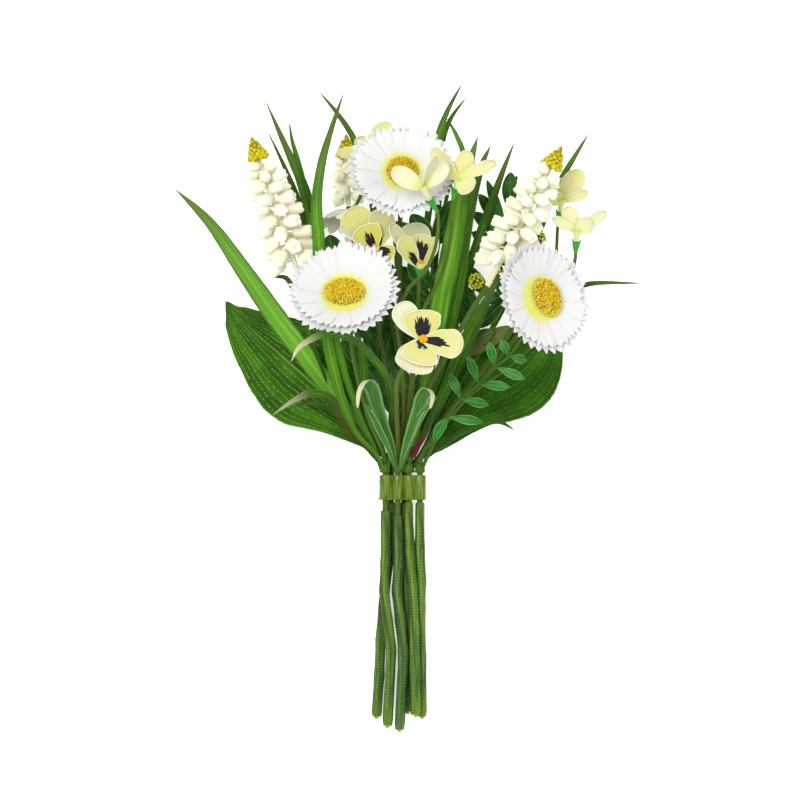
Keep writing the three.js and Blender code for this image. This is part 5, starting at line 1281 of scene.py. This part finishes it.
def clip_outline(count=260):
    """The outline of the fluted band, the furthest edge of its rounds and webs, and how deep in a groove it is."""
    reach = CLIP_BORE + CLIP_WALL
    middle = np.array([0.8, 5.2])
    boxes = ((-6.1, 8.9, 0.0, 6.2), (-7.4, 8.6, 4.1, 9.1))
    rows, grooves = [], []
    for a in np.arange(count) / count * 2 * math.pi:
        way = np.array([math.cos(a), math.sin(a)])
        far = 0
        for x, z in STEMS.values():
            centre = np.array([x, z]) - middle
            along = centre @ way
            gap = centre @ centre - along**2
            if gap < reach**2 and along > 0:
                far = max(far, along + math.sqrt(reach**2 - gap))
        round_part = far
        for x0, x1, z0, z1 in boxes:
            for share in np.linspace(0, 18, 721):
                p = middle + way * share
                if x0 <= p[0] <= x1 and z0 <= p[1] <= z1:
                    far = max(far, share)
        rows.append(middle + way * far)
        grooves.append(float(far > round_part or far < 5))
    deep = np.array(grooves)
    deep = sum(np.roll(deep, k) for k in range(-3, 4)) / 7
    # the groove mask sets the painted shade in the grooves, on the upper side only
    return np.array(rows), np.clip(deep * 2.2, 0, 1) * (np.array(rows)[:, 1] > 3)


def make_clip(finishes):
    """The moulded band: fluted outside, with a bore for each stem and a tiny flash nub on its lower left edge."""
    outline, grooves = clip_outline()
    levels = [(-CLIP_HALF, 0.35), (-CLIP_HALF + 0.12, 0.12), (-CLIP_HALF + 0.35, 0.0), (-3, 0), (0, 0.05), (3, 0),
              (CLIP_HALF - 0.35, 0.0), (CLIP_HALF - 0.12, 0.12), (CLIP_HALF, 0.35)]
    middle = outline.mean(0)
    shell = Shell()
    rings = []
    for y, inset in levels:
        offset = unit_rows(outline - middle) * inset
        flat = outline[:, 1] < 0.05
        offset[flat, 1] = 0
        ring = outline - offset
        rings.append(np.stack([ring[:, 0], np.full(len(ring), y), ring[:, 1]], -1)[::-1])
    rings = np.array(rings)
    # tone carries the painted shade in the grooves
    shell.rings(rings, caps=False, run=rings[..., 1], wide=rings[..., 0], tone=grooves[None, ::-1])
    angle = turns(20)
    for x, z in STEMS.values():
        bore = np.array([
            np.stack([x + radius * np.cos(angle), np.full(20, y), z + radius * np.sin(angle)], -1)
            for y, radius in (
                (-CLIP_HALF, CLIP_BORE + 0.12), (-CLIP_HALF + 0.3, CLIP_BORE),
                (CLIP_HALF - 0.3, CLIP_BORE), (CLIP_HALF, CLIP_BORE + 0.12),
            )
        ])
        shell.rings(bore, caps=False, run=bore[..., 1], wide=bore[..., 0])
    shell.grain((-10.4, -5.6, 8.2), (-1, -0.25, 0), 0.45, 1.5)
    piece = finished_piece("fine_clip_band", shell, finishes, "clip_plastic", "clip_band", crease=38)
    close_clip_ends(piece)
    return piece


def unit_rows(rows):
    return rows / np.linalg.norm(rows, axis=1)[:, None]


def close_clip_ends(piece):
    """Fills each end of the band between its outline and its bores."""
    shape = bmesh.new()
    shape.from_mesh(piece.data)
    for side in (-1, 1):
        edges = [
            e for e in shape.edges
            if e.is_boundary and all(abs(v.co.y - side * CLIP_HALF * MM) < 1e-6 for v in e.verts)
        ]
        bmesh.ops.triangle_fill(shape, use_beauty=True, use_dissolve=False, edges=edges, normal=(0, side, 0))
    bmesh.ops.recalc_face_normals(shape, faces=shape.faces)
    for face in shape.faces:
        face.smooth = True
    shape.to_mesh(piece.data)
    shape.free()
    piece.data.set_sharp_from_angle(angle=math.radians(38))


def make_tuft(name, plan, finishes, sheet):
    """A collar with its grass blades."""
    stem, low, blades = plan
    shell = Shell()
    add_collar(shell, stem, low, len(name), 1)
    for number, blade in enumerate(blades):
        rows = 40 + 4 * len(blade["points"])
        add_blade(shell, sheet, blade, 17 * number + len(name), rows=rows, columns=11 if blade["width"] > 4 else 7)
    slot = "dark_leaf" if name == "leaf_tuft_front" else "grass_green"
    return finished_piece(f"fine_{name}", shell, finishes, slot, name)


def make_broad_leaf(name, leaf, finishes, sheet):
    """A broad waved leaf: grooved between its veins, on a short stalk from its own collar."""
    shell = Shell()
    rows, columns = 110, 49
    t, at, _, up, right, run = Route(leaf["points"]).stations(rows - 1)
    s = np.linspace(-1, 1, columns)
    left, other = (steady(LEAF_SHARES, w, t) for w in leaf["widths"])
    wide = np.where(s[None] > 0, other[:, None], left[:, None])
    wide = np.maximum(wide, 0.3)
    share = wide / 26
    broad = np.abs(s)[None]
    wave = LEAF_WAVE * s**2 * share**2 * np.sin(t[:, None] * 24 + leaf["phase"] + np.where(s > 0, 1.3, 0))
    groove = 0.28 * np.minimum(share * 1.5, 1) * np.cos(s[None] * math.pi * 5)
    rib = -0.5 * np.exp(-((wide * s / 1.2) ** 2)) * np.minimum(share * 2, 1)
    pucker = 0.12 * np.minimum(share, 1) * ripple(4, run[:, None] * 0.6, wide * s * 0.5)
    lift = wave - share * LEAF_DROOP * s**2 + groove * (1 - broad**8) + rib + pucker
    lift = np.maximum(lift, 0.35 - at[:, 2][:, None])
    grid = leaf_grid(at, right, up, wide * s * (1 + 0.012 * ripple(9, run * 0.5)[:, None]), lift)
    thick = sheet / MM * np.where(wide < 3, 1.6, 1.0) * (1 - 0.35 * broad)
    shell.sheet(
        grid, thick, 0, along=t[:, None], across=s[None], run=run[:, None], wide=wide * s,
        tone=0.5, rust=1.0 if name == "leaf_left" else 0.0, pale=1.0 if name == "leaf_left" else 0.0,
    )
    add_collar(shell, leaf["stem"], 7.4, 2, 1)
    return finished_piece(f"fine_{name}", shell, finishes, "broad_leaf", name)


def make_spray(name, plan, finishes, sheet):
    """A leafy spray: stalks, leaflets and the odd blade from one collar."""
    stem, low, stalks, leaflets, blades = plan
    shell = Shell()
    fresh = name == "sprig_right"
    add_collar(shell, stem, low, len(name), 1)
    for points, start, end in stalks:
        shell.tube(points, (start, end), 10, (len(points) - 1) * 7, 1, tone=0.05 if fresh else 0.3)
    for number, (start, tip, width) in enumerate(leaflets):
        add_leaflet(
            shell, sheet, start, tip, width, number, not fresh, 0,
            tone=0.95 - 0.1 * (number % 3) if fresh else 0.1 + 0.14 * (number % 3), pale=0.0 if fresh else 0.6,
            rust={4: 0.3, 9: 0.5}.get(number, 0.0) if name == "foliage_right" else 0.0,
        )
        shell.grain(start, np.array(tip, float) - start, 0.95, 1.6, 1, tone=0.2)
    for number, blade in enumerate(blades):
        add_blade(shell, sheet, blade, 5 + number, 2, columns=7)
    return finished_piece(f"fine_{name}", shell, finishes, "dark_leaf", name)


def petal_grid(petal, share, side, wide, wave=0.0):
    """The points of a pansy's or star's petal round its head's place, and how far out and across each lies."""
    root = np.array(petal["root"], float)
    run = np.array(petal["tip"]) - root
    on = unit(run)
    out = unit(np.array((0.0, 0.0, 1.0)) - on * on[2])
    tilt = math.radians(petal.get("tilt", 0))
    out = out * math.cos(tilt) + np.cross(on, out) * math.sin(tilt)
    across = side * wide * petal["half"]
    lift = 4 * petal.get("bow", 0) * share * (1 - share) + 1.1 * side**2 * share + wave
    grid = root + run * share[..., None] + np.cross(on, out) * across[..., None] + out * lift[..., None]
    return grid, share * np.linalg.norm(run) + 0 * side, across


def petal_height(head, layer, r):
    """How far a layer of daisy petals has risen at a distance from the middle."""
    more, curve = layer["rise"]
    share = np.maximum(0, (r - head["disc"]) / (head["radius"] * layer["rim"] - head["disc"]))
    return (head["cup"] + more) * share**curve + layer["level"]


def make_daisy_layer(name, head, kind, finish, sizes):
    """One stamped layer: petals side by side on a hub, each softly folded along and cut into fine teeth."""
    shell = Shell()
    layer = LAYERS[kind]
    draw = random.Random(head["seed"] + (100 if kind == "upper" else 0))
    count = sizes.daisy_petals
    pitch = 2 * math.pi / count
    disc = head["disc"]
    hub = disc * 0.35
    rows, columns = 20, 31
    u, s = np.linspace(0, 1, rows), np.linspace(-1, 1, columns)
    for i in range(count):
        middle = (i + layer["offset"]) * pitch + draw.uniform(-0.015, 0.015)
        wide, high = head.get("spread", (1, 1))
        reach = head["radius"] * layer["reach"] * draw.uniform(0.94, 1.02)
        reach *= math.hypot(wide * math.cos(middle), high * math.sin(middle))
        teeth = 1 if kind == "single" else sizes.petal_teeth + draw.choice((0, 0, 1))
        depth = [draw.uniform(*layer["teeth"]) for _ in range(teeth + 2)]
        tooth = (s + 1) / 2 * teeth + draw.uniform(0, 0.4)
        saw = np.abs((tooth % 1) - 0.5) * 2
        cut = np.array([depth[int(number)] for number in tooth]) * saw
        rounding, power = layer["round"]
        ends = reach * (1 - cut - rounding * np.abs(s) ** power)
        r = hub + (ends[None] - hub) * u[:, None]
        out = np.clip((r - disc) / (reach - disc), 0, 1)
        angle = middle + pitch * (layer["spread"] - 0.03 * u**3)[:, None] * s
        creases = draw.uniform(0.04, 0.18) * np.sin(s[None] * math.pi * 2.2 + draw.uniform(0, 6)) * out
        creases += 0.1 * np.sin(s[None] * math.pi * teeth + draw.uniform(0, 6)) * out
        sway = draw.uniform(-0.4, 0.6) * out**2
        tilt = 0.4 * s[None] * (out + 0.12)
        curl = draw.uniform(*layer["curl"]) * np.clip((out - 0.7) / 0.3, 0, 1) ** 2
        z = petal_height(head, layer, r) + creases + sway + tilt + curl
        grid = np.stack([r * np.cos(angle), r * np.sin(angle), z], -1)
        sheet = moved(grid, head_place(head))
        shell.sheet(sheet, sizes.petal_sheet / MM, across=angle, edge=r - disc, tone=draw.uniform(0, 3))
    node = f"daisy_{name}_{'upper' if kind == 'upper' else 'petals'}"
    return finished_piece(f"fine_{node}", shell, [finish], "daisy_white", node)


def dome_point(r, share):
    """The distance out and the height on a disc's dome at a share of the way out."""
    return r * share, r * (0.36 - 0.2 * share**2.4) - (0.5 * max(0, share - 0.85) / 0.15)


def make_disc(name, head, finish, count):
    """The fuzzy middle of a daisy: a low oval dome covered in fine florets."""
    shell = Shell()
    single = head.get("single", False)
    base = (0 if single else LAYER_STEP) + PETAL_SEAT + GAP + 0.15
    radius = head.get("dome", head["disc"] * 0.93)
    place = head_place(head)
    place[:3, 3] += place[:3, 0] * head.get("aside", 0)
    stretch = np.diag([*head.get("oval", (1, 1)), 1])
    place[:3, :3] = place[:3, :3] @ stretch
    profile = [dome_point(radius * 0.94, share) for share in np.linspace(0.97, 0.04, 14)]
    outline = [(radius * 0.8, 0.0), (radius * 0.93, 0.6), *profile]
    outline = np.array([(r, z + base - (0.35 if z > 0.7 else 0)) for r, z in outline])
    # along 0 gives the dome under the florets the painted shade colour
    shell.lathe(outline, 36, place, along=0.0, edge=outline[:, :1] / radius, tone=0.5)
    draw = random.Random(head["seed"])
    count = count // 5 if single else count
    for k in range(count):
        share = math.sqrt((k + 0.5) / count)
        out, high = dome_point(radius, share * 0.985)
        angle = k * GOLDEN_ANGLE + draw.uniform(-0.06, 0.06)
        side = np.array([math.cos(angle), math.sin(angle), 0])
        at = side * out + (0, 0, high + base - 0.3 + draw.uniform(-0.1, 0.25))
        way = side * 0.5 * share**2 + (draw.uniform(-0.3, 0.3), draw.uniform(-0.3, 0.3), 1)
        size = radius * 0.05 * draw.uniform(0.75, 1.25)
        length = size * draw.uniform(1.3, 2.2)
        shell.grain(moved(at, place), place[:3, :3] @ way, size, length, edge=share, tone=draw.random())
    node = f"daisy_{name}_disc"
    return finished_piece(f"fine_{node}", shell, [finish], "daisy_yellow", node)


def rim_distance(out, across):
    """How far each point of a flat petal is from the petal's outline."""
    grid = np.stack([out, across], -1)
    loop = np.concatenate([grid[0], grid[1:, -1], grid[-1, -2::-1], grid[-2:0:-1, 0]])
    return np.linalg.norm(grid[:, :, None] - loop[None, None], axis=3).min(2)


def make_pansy(name, head, finishes, sheet):
    """Five rounded petals on a hub, each a little cupped and ruffled, with a lumpy yellow eye."""
    shell = Shell()
    place = head_place(head)
    rows, columns = 26, 25
    share = (1 - (1 - np.linspace(0.02, 1, rows)) ** 1.25)[:, None] * 1.05
    side = np.sin(np.linspace(-1, 1, columns) * math.pi / 2)[None]
    wide = np.where(
        share < 0.76,
        steady((0, 0.06, 0.42, 0.76), (0.2, 0.3, 0.86, 1.0), share),
        np.sqrt(np.maximum(1 - ((share - 0.76) / 0.29) ** 2, 0.0)),
    )
    for number, petal in enumerate(head["petals"]):
        frill = 0.3 * np.sin(share * 9 + side * 4 + number * 2) * side**2 * share
        uneven = np.maximum(wide, 0.002) * (1 + 0.02 * np.sin(share * 13 + number))
        grid, out, across = petal_grid(petal, share, side, uneven, frill)
        reach, spread = petal.get("whiskers", (0, 0))
        # along carries the petal's grey value, painted shade
        shell.sheet(
            grid + head["at"], sheet / MM, along=0.75 * petal.get("grey", 0), run=out, wide=across,
            edge=rim_distance(out, across), tone=number * 1.7, rust=reach, pale=spread,
            across=petal.get("white", 0),
        )
    hub = [(2.0, -0.35), (2.1, 0), (2.1, 2.0), (1.7, 2.4)]
    shell.lathe(hub, 16, place, run=0.0, across=0.3, along=0.0, edge=3)
    own_eye = name == "front"  # the CAD has this one's eye as a piece of its own
    eye, slot, full = (Shell(), 0, 1) if own_eye else (shell, 1, 0.6)
    for x, y, size in PANSY_EYE:
        at = moved(np.array([x * full, y * full, 2.6]), place)
        eye.grain(at, place[:3, 2], size * full, 1.3, slot, sides=12)
    node = f"pansy_{name}_petals"
    finished_piece(f"fine_{node}", shell, finishes, "cream_petal", node)
    if own_eye:
        finished_piece("fine_pansy_front_eye", eye, finishes[1:], "daisy_yellow", "pansy_front_eye")


def make_spike(name, spike, finishes, tip_buds):
    """A hyacinth spike: cream stalk, rounded bells in a spiral, and a cone of closed buds."""
    foot, tip = np.array(spike["foot"], float), np.array(spike["tip"], float)
    length = np.linalg.norm(tip - foot)
    on = unit(tip - foot)
    side = unit(np.cross((0, 0, 1), on))
    front = np.cross(on, side)
    bare = length - SPIKE_TIP
    shell = Shell()
    draw = random.Random(spike["seed"])
    # along 0.1 gives the stalk nearly the painted shade of the bells' feet
    shell.tube([foot, foot + on * bare], (1.5, 1.2), 12, 14, along=0.1)
    full = spike["bells"] > 14
    for i in range(spike["bells"]):
        share = i / (spike["bells"] - 1)
        at = foot + on * bare * mix(0.22 if full else 0.16, 0.95 if full else 0.74, share)
        angle = i * GOLDEN_ANGLE + draw.uniform(0, 0.4)
        out = side * math.cos(angle) + front * math.sin(angle)
        out = unit(out + on * mix(-0.35, 0.35, share) + side * draw.uniform(-0.12, 0.12))
        reach = spike["reach"] * mix(1, 0.6, share * share) * draw.uniform(0.9, 1.04)
        body = min(reach * 0.74, 9.8) * (1 if full else 0.9)
        fat = mix(3.45, 2.55, share) * (1 if full else 0.9) * draw.uniform(0.92, 1.08)
        neck = reach - body
        outline = [(0.6, 0), (0.65, neck * 0.7), (0.95, neck), (fat * 0.78, neck + body * 0.1),
                   (fat * 0.98, neck + body * 0.28), (fat, neck + body * 0.5), (fat * 0.98, neck + body * 0.7),
                   (fat * 0.94, neck + body * 0.84), (fat * 0.86, neck + body * 0.95), (fat * 0.6, neck + body),
                   (fat * 0.3, neck + body * 0.97), (fat * 0.12, neck + body * 0.9)]
        steps = np.arange(len(outline))
        fine = np.linspace(0, len(outline) - 1, 23)
        radii = steady(steps, [r for r, _ in outline], fine)
        heights = steady(steps, [h for _, h in outline], fine)

        def bend(r, h, a, first=draw.uniform(0, 6)):
            late = np.clip((h - neck - body * 0.55) / (body * 0.45), 0, 1)
            lobes = 1 + 0.1 * late * np.cos(a * 4 + first)
            return r * lobes, h - 0.25 * late * np.cos(a * 4 + first + math.pi) * (r > fat * 0.4)

        shell.lathe(
            list(zip(radii, heights)), 20, along_way(at, out), 0, bend,
            along=np.clip(heights / reach, 0, 1)[:, None], tone=draw.random(),
        )
    node = f"hyacinth_{name}_bells"
    finished_piece(f"fine_{node}", shell, finishes[:1], "bell_cream", node)
    buds = Shell()
    seat = tip - on * SPIKE_TIP
    core = [(4.2, 0.3), (4.3, 1.2), (3.4, 4), (2.2, 8), (0.9, 11.6), (0.2, 12.4)]
    # along 0 gives the core between the buds the painted shade colour
    buds.lathe(core, 16, along_way(seat, on), along=0.0)
    count = tip_buds if full else tip_buds * 2 // 3
    for k in range(count):
        share = 1 - math.sqrt(1 - (k + 0.5) / count * 0.97)
        radius = mix(4.5, 0.7, share)
        angle = k * GOLDEN_ANGLE
        out = side * math.cos(angle) + front * math.sin(angle)
        at = seat + on * SPIKE_TIP * mix(0.06, 0.93, share) + out * radius
        size = mix(1.4, 0.85, share) * draw.uniform(0.85, 1.15)
        buds.grain(at, out + on * mix(0.4, 1.5, share), size, size * 1.15, tone=draw.random(), sides=8)
    node = f"hyacinth_{name}_tip"
    return finished_piece(f"fine_{node}", buds, finishes[1:], "tip_lime", node)


def make_star(name, star, finish, sheet):
    """A star flower: a slim throat and the thin petals that spread from it."""
    shell = Shell()
    tube = star["tube"]
    throat = [(0.9, 0.2), (1.2, tube * 0.15), (1.5, tube * 0.5), (2.0, tube * 0.8), (2.6, tube),
              (1.3, tube * 0.97), (0.3, tube * 0.9)]
    shell.lathe(throat, 20, head_place(star), along=0.2, across=0.6, tone=star["tone"], wide=3, edge=3)
    rows, columns = 24, 15
    share = (np.sin(np.linspace(0, 1, rows) * math.pi / 2) ** 1.1)[:, None]
    side = np.sin(np.linspace(-1, 1, columns) * math.pi / 2)[None]
    early = 0.3 + 0.7 * np.sin(np.minimum(share / 0.58, 1) * math.pi / 2)
    late = np.sqrt(np.maximum(1 - np.maximum(0, (share - 0.58) / 0.42) ** 2.2, 0.0))
    for number, petal in enumerate(star["petals"]):
        wave = 0.3 * np.sin(share * 8 + side * 2 + number * 2) * share
        grid, out, across = petal_grid(petal, share, side, np.maximum(early * late, 0.01), wave)
        shell.sheet(
            grid + star["at"], sheet / MM, along=share, run=out, wide=across, edge=rim_distance(out, across),
            tone=star["tone"] + 0.12 * math.sin(number * 2.1),
        )
    node = f"star_{name}"
    return finished_piece(f"fine_{node}", shell, [finish], "cream_petal", node)


def make_buds(name, at, finishes, seed):
    """A cluster of small round yellow buds on a short foot."""
    shell = Shell()
    draw = random.Random(seed)
    at = np.array(at, float)
    shell.lathe([(1.0, 0.0), (1.15, 1.0), (1.7, 3.0), (1.9, 4.0)], 16, along_way(at, (0, 0, 1)), 1, tone=0.3)
    for k in range(34):
        high = 1 - 2 * (k + 0.5) / 34
        ring = math.sqrt(1 - high**2)
        out = np.array([ring * math.cos(k * GOLDEN_ANGLE), ring * math.sin(k * GOLDEN_ANGLE), high])
        centre = at + (0, 0, 4.2) + out * (3.1, 3.1, 1.7)
        shell.grain(centre, out, draw.uniform(0.75, 1.0), draw.uniform(1.0, 1.4), tone=draw.random())
    node = f"buds_{name}"
    return finished_piece(f"fine_{node}", shell, finishes, "bud_yellow", node)


# ---- operators ----
class BUNCH_OT_stage(bpy.types.Operator):
    """Makes the pale floor, the soft light and the camera that looks straight down"""

    bl_idname = "bunch.stage"
    bl_label = "Stage"
    bl_options = {"REGISTER", "UNDO"}

    def execute(self, context):
        scene = context.scene
        scene.view_settings.view_transform = "Standard"
        mesh = bpy.data.meshes.new("floor")
        sides = ((-1, -1), (1, -1), (1, 1), (-1, 1))
        corners = [(x * FLOOR_REACH, y * FLOOR_REACH, FLOOR_LEVEL) for x, y in sides]
        mesh.from_pydata(corners, [], [(0, 1, 2, 3)])
        floor = bpy.data.objects.new("floor", mesh)
        scene.collection.objects.link(floor)
        sweep = Finish("floor paper", roughness=0.9, light=0.1)
        paper = sweep.noise(sweep.where(0.02), 1.0, 2)
        sweep.glow((1, 1, 1), FLOOR_GLOW)
        mesh.materials.append(sweep.colour(sweep.blend(paper, FLOOR_PALE, FLOOR_PALER)))
        world = bpy.data.worlds.new("studio")
        world.use_nodes = True
        world.node_tree.nodes["Background"].inputs["Color"].default_value = (1, 1, 1, 1)
        world.node_tree.nodes["Background"].inputs["Strength"].default_value = SKY_STRENGTH
        scene.world = world
        for name, (place, size, power) in LAMPS.items():
            light = bpy.data.lights.new(name, "AREA")
            light.size, light.energy = size, power
            lamp = bpy.data.objects.new(name, light)
            scene.collection.objects.link(lamp)
            lamp.location = place
            lamp.rotation_mode = "QUATERNION"
            aim = lamp.location - type(lamp.location)(LAMP_TARGET)
            lamp.rotation_quaternion = aim.to_track_quat("Z", "Y")
        camera = bpy.data.objects.new("camera", bpy.data.cameras.new("camera"))
        scene.collection.objects.link(camera)
        camera.data.lens, camera.data.sensor_width = LENS, SENSOR
        camera.data.clip_end = 100
        camera.location = (*VIEW_MIDDLE, VIEW_LEVEL + VIEW_WIDTH * LENS / SENSOR)
        scene.camera = camera
        return {"FINISHED"}


class BUNCH_OT_sleeves(bpy.types.Operator):
    """Makes the six rough stem sleeves with their cut ends"""

    bl_idname = "bunch.sleeves"
    bl_label = "Stem sleeves"
    bl_options = {"REGISTER", "UNDO"}

    def execute(self, context):
        sizes = context.scene.bunch_sizes
        colours = context.scene.bunch_colours
        finishes = [sleeve_finish(colours), nub_finish(colours)]
        for stem in SLEEVES:
            make_sleeve(stem, finishes, sizes.skin_depth)
        return {"FINISHED"}


class BUNCH_OT_clip(bpy.types.Operator):
    """Makes the fluted plastic clip"""

    bl_idname = "bunch.clip"
    bl_label = "Clip"
    bl_options = {"REGISTER", "UNDO"}

    def execute(self, context):
        colours = context.scene.bunch_colours
        make_clip([clip_finish(colours)])
        return {"FINISHED"}


class BUNCH_OT_stalks(bpy.types.Operator):
    """Makes the stem cores, the branching stalks and the green cups"""

    bl_idname = "bunch.stalks"
    bl_label = "Stalks"
    bl_options = {"REGISTER", "UNDO"}

    def execute(self, context):
        colours = context.scene.bunch_colours
        finishes = [stalk_finish(colours), calyx_finish(colours)]
        for name, plan in stalk_plan().items():
            make_stalks(name, plan, finishes)
        return {"FINISHED"}


class BUNCH_OT_grass(bpy.types.Operator):
    """Makes the tufts of grass and the curled strap leaves"""

    bl_idname = "bunch.grass"
    bl_label = "Grass"
    bl_options = {"REGISTER", "UNDO"}

    def execute(self, context):
        sizes = context.scene.bunch_sizes
        colours = context.scene.bunch_colours
        stalk = stalk_finish(colours)
        grass = grass_finish(colours)
        dark = curled_finish(colours)
        for name, plan in GRASS.items():
            make_tuft(name, plan, [dark if name == "leaf_tuft_front" else grass, stalk], sizes.blade_sheet)
        return {"FINISHED"}


class BUNCH_OT_broad_leaves(bpy.types.Operator):
    """Makes the two broad leaves"""

    bl_idname = "bunch.broad_leaves"
    bl_label = "Broad leaves"
    bl_options = {"REGISTER", "UNDO"}

    def execute(self, context):
        sizes = context.scene.bunch_sizes
        colours = context.scene.bunch_colours
        finishes = [broad_leaf_finish(colours), stalk_finish(colours)]
        for name, leaf in BROAD_LEAVES.items():
            make_broad_leaf(name, leaf, finishes, sizes.leaf_sheet)
        return {"FINISHED"}


class BUNCH_OT_sprays(bpy.types.Operator):
    """Makes the leafy sprays"""

    bl_idname = "bunch.sprays"
    bl_label = "Leafy sprays"
    bl_options = {"REGISTER", "UNDO"}

    def execute(self, context):
        sizes = context.scene.bunch_sizes
        colours = context.scene.bunch_colours
        finishes = [leaflet_finish(colours), stalk_finish(colours), grass_finish(colours)]
        for name, plan in SPRAYS.items():
            make_spray(name, plan, finishes, sizes.blade_sheet)
        return {"FINISHED"}


class BUNCH_OT_daisies(bpy.types.Operator):
    """Makes the daisies: petal layers and discs"""

    bl_idname = "bunch.daisies"
    bl_label = "Daisies"
    bl_options = {"REGISTER", "UNDO"}

    def execute(self, context):
        sizes = context.scene.bunch_sizes
        colours = context.scene.bunch_colours
        white, pale, gold = petal_finish(colours), green_petal_finish(), floret_finish(colours)
        for name, head in DAISIES.items():
            for kind in ("single",) if head.get("single") else ("petals", "upper"):
                make_daisy_layer(name, head, kind, pale if kind == "single" else white, sizes)
            make_disc(name, head, gold, sizes.disc_florets)
        return {"FINISHED"}


class BUNCH_OT_pansies(bpy.types.Operator):
    """Makes the pansies with their whiskers and eyes"""

    bl_idname = "bunch.pansies"
    bl_label = "Pansies"
    bl_options = {"REGISTER", "UNDO"}

    def execute(self, context):
        sizes = context.scene.bunch_sizes
        colours = context.scene.bunch_colours
        finishes = [pansy_finish(colours), eye_finish(colours)]
        for name, head in PANSIES.items():
            make_pansy(name, head, finishes, sizes.pansy_sheet)
        return {"FINISHED"}


class BUNCH_OT_hyacinths(bpy.types.Operator):
    """Makes the grape-hyacinth spikes"""

    bl_idname = "bunch.hyacinths"
    bl_label = "Hyacinths"
    bl_options = {"REGISTER", "UNDO"}

    def execute(self, context):
        sizes = context.scene.bunch_sizes
        colours = context.scene.bunch_colours
        finishes = [bell_finish(colours), bead_finish(colours)]
        for name, spike in HYACINTHS.items():
            make_spike(name, spike, finishes, sizes.tip_buds)
        return {"FINISHED"}


class BUNCH_OT_stars(bpy.types.Operator):
    """Makes the small star flowers"""

    bl_idname = "bunch.stars"
    bl_label = "Star flowers"
    bl_options = {"REGISTER", "UNDO"}

    def execute(self, context):
        sizes = context.scene.bunch_sizes
        colours = context.scene.bunch_colours
        finish = star_finish(colours)
        for name, star in STARS.items():
            make_star(name, star, finish, sizes.pansy_sheet)
        return {"FINISHED"}


class BUNCH_OT_buds(bpy.types.Operator):
    """Makes the yellow bud clusters"""

    bl_idname = "bunch.buds"
    bl_label = "Bud clusters"
    bl_options = {"REGISTER", "UNDO"}

    def execute(self, context):
        colours = context.scene.bunch_colours
        finishes = [bud_finish(), stalk_finish(colours)]
        for seed, (name, at) in enumerate(BUDS.items()):
            make_buds(name, at, finishes, 41 + seed)
        return {"FINISHED"}


STEPS = (
    BUNCH_OT_stage, BUNCH_OT_sleeves, BUNCH_OT_clip, BUNCH_OT_stalks, BUNCH_OT_grass, BUNCH_OT_broad_leaves,
    BUNCH_OT_sprays, BUNCH_OT_daisies, BUNCH_OT_pansies, BUNCH_OT_hyacinths, BUNCH_OT_stars, BUNCH_OT_buds,
)


class BUNCH_PT_panel(bpy.types.Panel):
    """The bunch's sizes, colours and steps in the sidebar"""

    bl_idname = "BUNCH_PT_panel"
    bl_label = "Bunch of daisies"
    bl_space_type = "VIEW_3D"
    bl_region_type = "UI"
    bl_category = "Bunch"

    def draw(self, context):
        for group in (context.scene.bunch_sizes, context.scene.bunch_colours):
            box = self.layout.box()
            for name in group.__annotations__:
                box.prop(group, name)
        for step in STEPS:
            self.layout.operator(step.bl_idname)


CLASSES = (BunchSizes, BunchColours, *STEPS, BUNCH_PT_panel)


def register():
    for cls in CLASSES:
        bpy.utils.register_class(cls)
    bpy.types.Scene.bunch_sizes = PointerProperty(type=BunchSizes)
    bpy.types.Scene.bunch_colours = PointerProperty(type=BunchColours)


def unregister():
    del bpy.types.Scene.bunch_colours
    del bpy.types.Scene.bunch_sizes
    for cls in reversed(CLASSES):
        bpy.utils.unregister_class(cls)


def main():
    """Makes every piece in order."""
    register()
    for step in STEPS:
        group, name = step.bl_idname.split(".")
        getattr(getattr(bpy.ops, group), name)()


if __name__ == "__main__":
    main()
